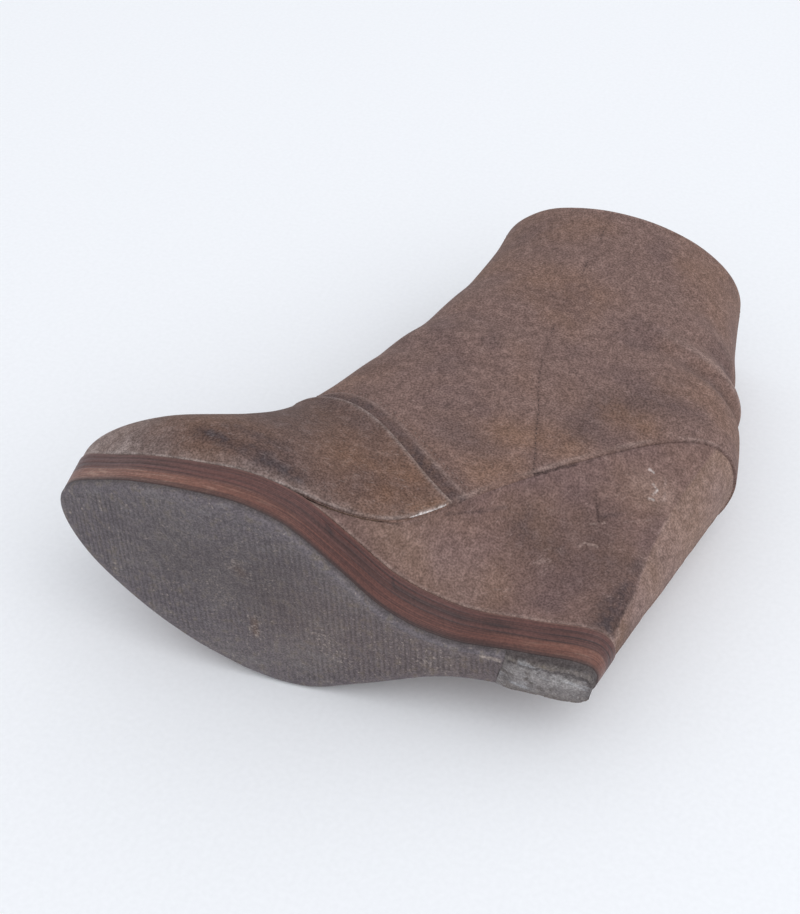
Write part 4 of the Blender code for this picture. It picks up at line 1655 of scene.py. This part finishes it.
@dataclass(frozen=True)
class SideSeam:
    """The seam down each side of the quarters, from the collar to the feather line: along at each height."""

    up: tuple[float, ...] = (68.6, 77.6, 90.0, 103.1, 112.8, 135.0, 170.0, 205.0, 234.0)
    along: tuple[float, ...] = (40.7, 42.0, 44.1, 45.8, 48.0, 50.0, 47.5, 43.0, 39.5)
    samples: int = 240
    first_row: float = 8.4
    rows: int = 320
    columns: int = 200
    even_steps: int = 9

    def path(self, last: Last, side: Side) -> tuple[Array, Array]:
        """Points and normals of the seam on one side: at each height the last's nearest point in profile.

        A running mean makes the line even.

        Args:
            last: The boot's last.
            side: Which side.

        Returns:
            Points and outward normals, from the feather line up.
        """
        up = np.linspace(self.up[0], self.up[-1], self.samples)
        along = smooth(up, np.array(self.up), np.array(self.along))
        half = (0.0, 0.5) if side is Side.INNER else (0.5, 1.0)
        cuts = np.linspace(self.first_row, last.collar_row, self.rows)
        grid = last.grid(cuts, np.linspace(*half, self.columns))
        profile = grid.point[..., (0, 2)].reshape(-1, 2)
        wanted = np.stack([along, up], axis=1)
        nearest = np.array([np.argmin(((profile - place) ** 2).sum(axis=1)) for place in wanted])
        point, normal = grid.point.reshape(-1, 3)[nearest], grid.normal.reshape(-1, 3)[nearest]
        kernel = np.ones(self.even_steps) / self.even_steps
        ends = ((self.even_steps // 2,) * 2, (0, 0))
        even = [
            np.stack([np.convolve(k, kernel, "valid") for k in np.pad(values, ends, "edge").T], axis=1)
            for values in (point, normal)
        ]
        return even[0], unit(even[1])


@dataclass
class Upper:
    """Quarters, counter and shaft in one suede wall, with its lining, seams and creases."""

    last: Last
    boot: BootFrame
    finish: Suede
    lining_finish: SmoothLeather
    seam: SideSeam = SideSeam()
    toe_rows: int = 24
    first_row: float = 6.9
    low_rows: int = 144
    high_rows: int = 117
    columns: int = 305
    pace: int = 4
    seam_pace: int = 12
    lining_rows: tuple[int, int] = (124, 57)
    lining_columns: int = 129
    heel_reach: float = 0.06
    collar_reach: float = 0.04
    wall: float = 1.3
    lining_face: float = 1.95
    lining_back: float = 1.4
    edge_round: float = 0.8
    groove_depth: float = 0.2
    second_line: float = 0.36
    line_depth: float = 0.35
    creases: tuple[Crease, ...] = (
        Crease((113.0, 12.0, 127.0), (64.0, 30.0, 116.0), 6.0, 1.8),
        Crease((107.0, 14.0, 140.0), (58.0, 31.0, 133.0), 5.0, -0.8),
        Crease((103.0, 14.0, 152.0), (50.0, 32.0, 148.0), 8.0, 1.5),
        Crease((114.0, -8.0, 124.0), (60.0, -29.0, 114.0), 7.0, 1.6),
        Crease((108.0, -14.0, 138.0), (58.0, -30.0, 131.0), 5.0, -0.8),
        Crease((103.0, -12.0, 152.0), (46.0, -31.0, 148.0), 8.0, 1.5),
        Crease((70.0, 29.0, 78.0), (44.0, 29.5, 100.0), 5.0, 0.5),
        Crease((93.0, 6.0, 186.0), (56.0, 32.0, 178.0), 9.0, 1.0),
    )
    folds: tuple[Fold, ...] = (
        Fold(14.5, 14.1, -62.0, 84.0, 4.6, 2.9),
        Fold(14.8, 14.45, -50.0, 78.0, 4.4, -1.3),
        Fold(15.15, 14.9, -56.0, 66.0, 5.4, 2.2),
        Fold(15.6, 15.9, 20.0, 96.0, 7.0, 1.0),
    )
    fold_steps: int = 9
    marks: tuple[Mark, ...] = (
        Mark(Paint.WARM, (55.0, 28.2, 85.0), (32.0, 29.2, 88.0), 9.0, 0.6),
        Mark(Paint.WARM, (15.0, 30.8, 111.0), (7.0, 30.9, 108.0), 8.0, 0.6),
        Mark(Paint.WARM, (58.0, 27.0, 62.0), (48.0, 28.0, 70.0), 8.0, 0.5),
        Mark(Paint.GRIME, (27.5, 29.8, 96.0), (23.0, 30.5, 116.0), 7.0, 0.35),
        Mark(Paint.GRIME, (16.0, 30.9, 116.0), (0.0, 30.0, 124.0), 8.0, 0.35),
        Mark(Paint.GRIME, (74.0, 27.3, 79.0), (62.0, 27.7, 75.0), 8.0, 0.3),
    )
    fine_marks: tuple[Mark, ...] = (
        # Painted shade in the crevice along the feather line, from the side seam back.
        Mark(Paint.DEEP, (40.0, 27.7, 69.3), (26.3, 28.2, 80.8), 0.8, 0.7),
        Mark(Paint.DEEP, (26.3, 28.2, 80.8), (18.0, 28.9, 87.6), 0.7, 0.55),
    )

    def cuts(self, toe_count: int, first: float, low_count: int, high_count: int) -> tuple[Array, int]:
        """Row numbers from toe to collar, closer where the feather line rounds the heel and at the collar.

        Args:
            toe_count: How many lie under the vamp.
            first: The row number after those.
            low_count: How many follow up to the heel row.
            high_count: How many follow up to the collar.

        Returns:
            Rising row numbers, and how many lie below the heel row.
        """
        heel, collar = self.last.heel_row, self.last.collar_row
        toe = np.linspace(0, first, toe_count, endpoint=False)
        low = np.linspace(first, heel - self.heel_reach, low_count)
        rounding = heel - self.heel_reach * np.square(CLOSER)
        high = np.linspace(heel, collar - self.collar_reach, high_count)
        edge = collar - self.collar_reach * np.array([0.55, 0.25, 0.08, 0.0])
        return np.concatenate([toe, low, rounding, high, edge]), toe_count + low_count + len(CLOSER)

    def build(self) -> list[Piece]:
        """The suede wall and the lining inside it.

        Returns:
            The two pieces.
        """
        cuts, low = self.cuts(self.toe_rows, self.first_row, self.low_rows, self.high_rows)
        grid = self.last.grid(cuts, crowded(self.columns))
        from_feather = grid.from_feather()
        from_collar = grid.from_last_row()
        from_seam = self.from_side_seams(grid.point)
        relief = self.relief(grid.point)
        sink = relief + 0.6 * rounded(from_feather, self.edge_round)
        sink += 0.8 * rounded(from_collar, self.edge_round)
        past = grid.row - self.last.seam_row - self.second_line
        sink += self.line_depth * (bell(past, 0.04) - 0.7 * bell(past + 0.1, 0.07))
        sink += self.groove_depth * bell(from_seam, 0.7) - 0.08 * bell(from_seam - 1.6, 0.8)
        sink = np.where(grid.row < self.last.seam_row + 0.6, np.maximum(sink, -0.1), sink)
        paint = self.paint(grid, from_feather, from_collar)
        lay(paint, Paint.DEEP, 0.25 * bell(from_seam, 0.6))
        # Painted shade in the troughs of the creases and folds; their ridges lighter.
        lay(paint, Paint.GRIME, 0.4 * ease((relief - 0.6) / 2.0))
        lay(paint, Paint.RUB, 0.4 * ease((-relief - 0.3) / 0.8))
        hull = Hull()
        hull.shell(Sheet(grid.offset(-sink), paint), grid.offset(-sink - self.wall), low, self.pace)
        suede = hull.build("upper_suede_wall", self.boot, self.finish.material(self.boot, self.fine_marks))
        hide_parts("upper")
        return [suede, self.lining()]

    def from_side_seams(self, points: Array) -> Array:
        """Distance of points from the nearer side seam.

        Args:
            points: Places on the last.

        Returns:
            One distance for each place.
        """
        near = np.full(points.shape[:-1], FAR)
        for side in Side:
            path, _ = self.seam.path(self.last, side)
            for start, end in zip(path[:-1 : self.seam_pace], path[self.seam_pace :: self.seam_pace]):
                near = np.minimum(near, segment_distance(points, start, end)[0])
        return near

    def folded(self, points: Array, fold: Fold) -> Array:
        """How far the wall sinks in one fold: a bell across its line, with a sine's rise and fall along it.

        Args:
            points: Places on the last.
            fold: The fold.

        Returns:
            One depth for each place.
        """
        rows = np.linspace(fold.row_from, fold.row_to, self.fold_steps)
        turns = np.radians(np.linspace(fold.turn_from, fold.turn_to, self.fold_steps))
        line = self.last.point(rows, turns)
        away = [segment_distance(points, start, end) for start, end in zip(line, line[1:])]
        distances, shares = (np.stack(values) for values in zip(*away))
        nearest = np.argmin(distances, axis=0)
        share = np.take_along_axis(shares, nearest[None], axis=0)[0]
        run = (nearest + share) / (self.fold_steps - 1)
        return fold.depth * bell(distances.min(axis=0), fold.width) * np.sin(np.pi * run) ** 0.7

    def relief(self, points: Array) -> Array:
        """How far the wall sinks in its creases, folds and slack; where it lies on the floor it never swells.

        Args:
            points: Places on the last.

        Returns:
            One depth for each place.
        """
        sink = creased(points, self.creases) - 0.2 * waves(points, 26.0, 31)
        for fold in self.folds:
            sink += self.folded(points, fold)
        free = ease((self.boot.place(points)[..., 2] / MM - 0.5) / 2.0)
        return np.where(sink < 0, sink * free, sink)

    def paint(self, grid: LastGrid, from_feather: Array, from_collar: Array) -> Fields:
        """Painted shade at the feather line, dark behind the vamp's seam, worn at the collar, and the marks.

        Args:
            grid: The wall's grid.
            from_feather: Distances from the feather line.
            from_collar: Distances from the collar.

        Returns:
            The painted fields.
        """
        paint = painted(grid.point, self.marks)
        wander = 0.5 + 0.5 * waves(grid.point, 16.0, 33)
        past = grid.row - self.last.seam_row
        behind = ease((past + 0.1) / 0.1) * (1 - ease((past - 0.16) / 0.26))
        # Darker behind the vamp's seam, and painted shade along the crevice at the feather line.
        lay(paint, Paint.GRIME, 0.75 * behind * (0.6 + 0.5 * wander), 0.3 * bell(from_feather, 1.2) * wander)
        ridge = 0.4 * bell(past - self.second_line + 0.06, 0.05) * (0.4 + 0.6 * wander)
        foot = 0.55 * bell(from_feather - 1.4, 1.0) * wander
        lay(paint, Paint.RUB, ridge, foot, 0.35 * bell(from_collar, 1.2))
        return paint

    def lining(self) -> Piece:
        """The lining on the inside of the whole boot, as a thin wall of its own.

        Returns:
            The lining.
        """
        cuts, low = self.cuts(0, 0.0, *self.lining_rows)
        grid = self.last.grid(cuts, crowded(self.lining_columns))
        sink = np.maximum(self.relief(grid.point), 0.0)
        face, back = grid.offset(-sink - self.lining_face), grid.offset(-sink - self.lining_back)
        hull = Hull()
        hull.shell(Sheet(face), back, low, self.pace)
        piece = hull.build("upper_lining", self.boot, self.lining_finish.material())
        return piece


@dataclass
class Vamp:
    """The suede overlay over toe and instep, with a folded edge and a lip at the waist."""

    last: Last
    boot: BootFrame
    finish: Suede
    rows: int = 188
    columns: int = 241
    pace: int = 4
    face: float = 1.3
    back: float = 0.3
    fold: float = 1.0
    marks: tuple[Mark, ...] = (
        Mark(Paint.GRIME, (156.0, 35.0, 32.0), (142.7, 38.6, 27.8), 3.4, 0.8),
        Mark(Paint.GRIME, (142.7, 38.6, 28.0), (130.0, 37.8, 28.4), 3.2, 0.65),
        Mark(Paint.GRIME, (131.8, 37.9, 25.5), (118.0, 35.5, 25.0), 3.6, 0.9),
        Mark(Paint.GRIME, (148.0, 35.0, 37.0), (128.0, 35.5, 36.0), 3.4, 0.4),
        Mark(Paint.WARM, (104.0, 31.0, 46.0), (86.0, 29.0, 43.0), 12.0, 0.45),
        Mark(Paint.WARM, (93.0, 29.5, 36.0), (90.0, 29.0, 36.0), 5.0, 0.8),
        Mark(Paint.WARM, (78.0, 26.4, 33.0), (68.0, 26.2, 42.0), 3.0, 0.8),
        # Painted shadow across the top of the vamp.
        Mark(Paint.GRIME, (170.0, 20.0, 48.0), (130.0, 24.0, 64.0), 14.0, 0.3),
    )
    fine_marks: tuple[Mark, ...] = (
        Mark(Paint.PALE, (77.0, 27.0, 30.8), (72.0, 27.0, 36.0), 1.2, 1.0),
        Mark(Paint.PALE, (72.0, 27.0, 36.0), (67.6, 27.2, 41.0), 1.1, 0.85),
        # Painted shadow under the vamp's lip at the waist.
        Mark(Paint.DEEP, (98.0, 30.6, 22.4), (87.7, 27.6, 25.0), 0.7, 0.5),
        Mark(Paint.DEEP, (87.7, 27.6, 25.0), (79.0, 26.2, 29.0), 0.8, 0.7),
        Mark(Paint.GRIME, (153.0, 36.0, 33.0), (136.0, 38.0, 30.0), 1.2, 0.4),
        Mark(Paint.RUB, (160.0, 33.0, 34.0), (148.0, 36.5, 33.5), 1.2, 0.5),
    )
    creases: tuple[Crease, ...] = (
        Crease((150.0, 14.0, 56.0), (112.0, 34.0, 38.0), 5.0, 0.5),
        Crease((150.0, -10.0, 56.0), (114.0, -40.0, 38.0), 5.0, 0.6),
    )

    def build(self) -> Piece:
        """The overlay as a thin wall whose edges are rounded over.

        Returns:
            The overlay.
        """
        reach = 0.1
        seam = self.last.seam_row
        steps = np.square((*CLOSER, 0.0))
        cuts = np.concatenate([np.linspace(0, seam - reach, self.rows), seam - reach * steps])
        grid = self.last.grid(cuts, crowded(self.columns))
        from_feather = grid.from_feather()
        from_seam = grid.from_last_row()
        thick = self.face - self.back
        fall = np.minimum(rounded(from_seam, self.fold) + rounded(from_feather, self.fold), 0.85 * thick)
        lift = 0.4 * bell(from_seam - 1.5, 1.1) - creased(grid.point, self.creases)
        lift += 0.15 * waves(grid.point, 28.0, 41) * ease(from_seam / 6.0)
        lift *= ease(grid.row / 0.5)
        paint = self.paint(grid, from_feather, from_seam)
        hull = Hull()
        face = Sheet(grid.offset(self.face + lift - fall), paint)
        hull.shell(face, grid.offset(self.back), len(cuts) - 1, self.pace)
        piece = hull.build("vamp_overlay", self.boot, self.finish.material(self.boot, self.fine_marks))
        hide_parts("vamp")
        return piece

    def paint(self, grid: LastGrid, from_feather: Array, from_seam: Array) -> Fields:
        """Rubbed along its edges, scuffed grey at the toe, painted shade along its seam rim, and the marks.

        Args:
            grid: The overlay's grid.
            from_feather: Distances from the feather line.
            from_seam: Distances from its seam.

        Returns:
            The painted fields.
        """
        paint = painted(grid.point, self.marks)
        along = grid.point[..., 0]
        wander = 0.5 + 0.5 * waves(grid.point, 15.0, 42)
        edge = 0.75 * bell(from_feather - 0.6, 0.7) + 0.3 * bell(from_feather, 6.0)
        edge *= 0.5 + 0.5 * ease((along - 95.0) / 30.0)
        lay(paint, Paint.RUB, 0.42 * bell(from_seam - 1.0, 1.0), edge * (0.45 + 0.55 * wander))
        toe = 0.75 * ease((along - 155.0) / 45.0) * (0.6 + 0.4 * wander)
        paint[Paint.RUB] = np.clip(paint[Paint.RUB] + toe, 0, 1)
        # Painted shade along the seam rim.
        paint[Paint.DEEP] = 0.5 * bell(from_seam, 0.25)
        return paint


@dataclass
class SeamThreads:
    """Rows of stitches: behind the vamp's seam and below the collar, and darker ones down the side seams."""

    upper: Upper
    finish: SmoothLeather
    side_finish: SmoothLeather
    pitch: float = 2.6
    length: float = 1.6
    radius: float = 0.22
    behind_seam: float = 0.42
    below_collar: float = 0.13
    sunk: float = 0.12
    arch: float = 0.6
    dip: float = 0.3
    steps: int = 5
    sides: int = 7
    samples: int = 400

    def row(self, path: Array, normal: Array) -> Array:
        """Stitches along a path, each a thin capsule that dips into the leather at both ends.

        Its radius goes as the square root of sin(pi u) and its height as sin(pi u), u being the way along it.

        Args:
            path: Points (n, 3) on the surface.
            normal: Outward directions there.

        Returns:
            Points (stitches, steps, sides, 3).
        """
        run = arc_length(path)
        starts = np.arange(self.pitch / 2, run[-1] - self.length, self.pitch)
        u = np.linspace(0, 1, self.steps)
        at = starts[:, None] + u * self.length
        middle = np.stack([np.interp(at, run, path[:, k]) for k in range(3)], axis=-1)
        out = unit(np.stack([np.interp(at, run, normal[:, k]) for k in range(3)], axis=-1))
        across = unit(np.cross(out, middle[:, -1:] - middle[:, :1]))
        height = self.radius * (self.arch * np.sin(np.pi * u) - self.dip)
        middle = middle + out * height[:, None]
        thick = self.radius * np.sqrt(np.clip(np.sin(np.pi * u), 0, 1))
        angle = np.linspace(0, 2 * np.pi, self.sides)
        ring = out[:, :, None] * np.cos(angle)[:, None] + across[:, :, None] * np.sin(angle)[:, None]
        return middle[:, :, None] + ring * thick[:, None, None]

    def laid(self, path: Array, normal: Array, groove: float) -> tuple[Array, Array]:
        """A path on the last brought down to the upper's own surface, with its normals."""
        depth = self.upper.relief(path) + groove + self.sunk
        return path - normal * depth[:, None], normal

    def build(self) -> list[Piece]:
        """The pale rows as one mesh and the dark side rows as another.

        Returns:
            The two pieces.
        """
        upper, last = self.upper, self.upper.last
        rows, sides = Hull(), Hull()
        share = np.linspace(0, 1, self.samples)
        for row in (last.seam_row + self.behind_seam, last.collar_row - self.below_collar):
            grid = last.grid(np.array([row]), share)
            rows.sheet(Sheet(self.row(*self.laid(grid.point[0], grid.normal[0], 0.0))))
        for side in Side:
            sides.sheet(Sheet(self.row(*self.laid(*upper.seam.path(last, side), upper.groove_depth))))
        pieces = [
            rows.build("seam_threads", upper.boot, self.finish.material()),
            sides.build("side_seam_threads", upper.boot, self.side_finish.material()),
        ]
        return pieces


@dataclass
class Insole:
    """The sock inside the boot, which keeps its solid and gets the lining's leather."""

    finish: SmoothLeather
    node: str = "insole"

    def dress(self) -> None:
        """Puts the leather on the solid."""
        obj = frame["nodes"][self.node]
        obj.data.materials.clear()
        obj.data.materials.append(self.finish.material())
        LOG.info("%s: dressed", self.node)


@dataclass
class Studio:
    """A pale floor, soft light from above and in front, and the camera at the photo's angle."""

    boot: BootFrame
    floor_colour: str = "#f3f5f8"
    sky_colour: str = "#f6f8fc"
    sky_strength: float = 0.8
    key_power: float = 117.0
    key_size: float = 5.4
    key_place: Place = (2.4, -1.8, 3.9)
    floor_half: float = 8.0
    camera_place: Place = (48.5, 401.4, -317.9)
    camera_look: Place = (0.153, -0.623, 0.767)
    camera_up: Place = (0.284, 0.771, 0.570)
    photo_lens: float = 46.95
    sensor: float = 36.0
    image: tuple[int, int] = (800, 914)
    aim_pixel: tuple[float, float] = (454.0, 600.0)
    closer: float = 1.23

    def build(self) -> None:
        """Floor, light and camera."""
        self.lay_floor()
        self.light()
        self.aim()
        LOG.info("studio: floor, light and camera")

    def lay_floor(self) -> None:
        """A wide sheet of pale paper under the boot."""
        finish = Finish("matt_paper", 0.85, 0.2)
        grain = add_node(finish.tree, "TexNoise", {"Vector": finish.place, "Scale": per_metre(2.0)})
        speck = add_node(finish.tree, "MapRange", {0: grain, 1: 0.3, 2: 0.7, 3: 0.985, 4: 1.015})
        bump = add_node(finish.tree, "Bump", {"Height": grain, "Strength": 0.05, "Distance": 0.1 * MM})
        shade = add_node(finish.tree, "MapRange", {0: grain, 1: 0.0, 2: 1.0, 3: 0.0, 4: 0.03})
        finish.close(finish.layered(linear(self.floor_colour), [(shade, self.sky_colour)]), speck, bump)
        half = self.floor_half
        mesh = bpy.data.meshes.new("floor")
        corners = [(-half, -half, 0.0), (half, -half, 0.0), (half, half, 0.0), (-half, half, 0.0)]
        mesh.from_pydata(corners, [], [(0, 1, 2, 3)])
        mesh.materials.append(finish.material)
        floor = bpy.data.objects.new("floor", mesh)
        bpy.context.scene.collection.objects.link(floor)

    def light(self) -> None:
        """An even pale sky and one large soft light."""
        scene = bpy.context.scene
        world = bpy.data.worlds.new("pale_studio")
        world.use_nodes = True
        sky = world.node_tree.nodes["Background"]
        sky.inputs["Color"].default_value = linear(self.sky_colour)
        sky.inputs["Strength"].default_value = self.sky_strength
        scene.world = world
        lamp = bpy.data.lights.new("soft_box", "AREA")
        lamp.energy = self.key_power
        lamp.size = self.key_size
        box = bpy.data.objects.new("soft_box", lamp)
        box.location = self.key_place
        box.rotation_euler = (-Vector(self.key_place)).to_track_quat("-Z", "Y").to_euler()
        scene.collection.objects.link(box)
        scene.view_settings.view_transform = "Standard"

    def aim(self) -> None:
        """Puts the camera where the photo's was, turned so that one pixel of the photo becomes the middle."""
        width, height = self.image
        look = unit(np.array(self.camera_look))
        up = square_to(look, np.array(self.camera_up))
        right = np.cross(look, up)
        reach = self.photo_lens / self.sensor * height
        ray = look * reach + right * (self.aim_pixel[0] - width / 2) + up * (height / 2 - self.aim_pixel[1])
        ray = unit(ray)
        above = square_to(ray, up)
        turn = self.boot.turned(np.stack([np.cross(ray, above), above, -ray])).T
        matrix = Matrix(turn.tolist()).to_4x4()
        matrix.translation = Vector(self.boot.place(np.array(self.camera_place)))
        lens = bpy.data.cameras.new("camera")
        lens.sensor_fit = "AUTO"
        lens.sensor_width = self.sensor
        lens.lens = self.photo_lens * self.closer
        camera = bpy.data.objects.new("camera", lens)
        camera.matrix_world = matrix
        bpy.context.scene.collection.objects.link(camera)
        bpy.context.scene.camera = camera


def main() -> None:
    """Builds the boot's pieces over the solids, then the studio."""
    logging.basicConfig(level=logging.INFO, format="%(message)s")
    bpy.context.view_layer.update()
    boot = BootFrame.from_record(frame["record"])
    last = Last()
    Studio(boot).build()
    Outsole(last.plan, boot, TreadRubber("ribbed_rubber")).build()
    heel_finish = TreadRubber(
        "heel_rubber", rubber="#69625f", worn="#837e7e", groove="#544d4b", grit="#a7a4a2",
        smear="#a8a9ad", smear_share=0.45,
    )
    HeelPiece(last.plan, boot, heel_finish).build()
    PlatformStrip(last.plan, boot, StackedLeather("stacked_leather")).build()
    wedge_finish = Suede("wedge_suede", nap="#745e5a", warm="#7d6353", grain_contrast=0.3)
    WedgeCover(last, boot, wedge_finish).build()
    Insole(SmoothLeather("sock_leather")).dress()
    upper = Upper(last, boot, Suede("upper_suede"), SmoothLeather("lining_leather"))
    upper.build()
    vamp_finish = Suede("vamp_suede", nap="#67534d", warm="#785a48", cool="#4d4245", rub="#988b87")
    Vamp(last, boot, vamp_finish).build()
    thread = SmoothLeather("waxed_thread", "#85726b", "#6a5953", pore_mm=0.4)
    dark_thread = SmoothLeather("dark_thread", "#3d312f", "#302725", pore_mm=0.4)
    SeamThreads(upper, thread, dark_thread).build()


if __name__ == "__main__":
    main()
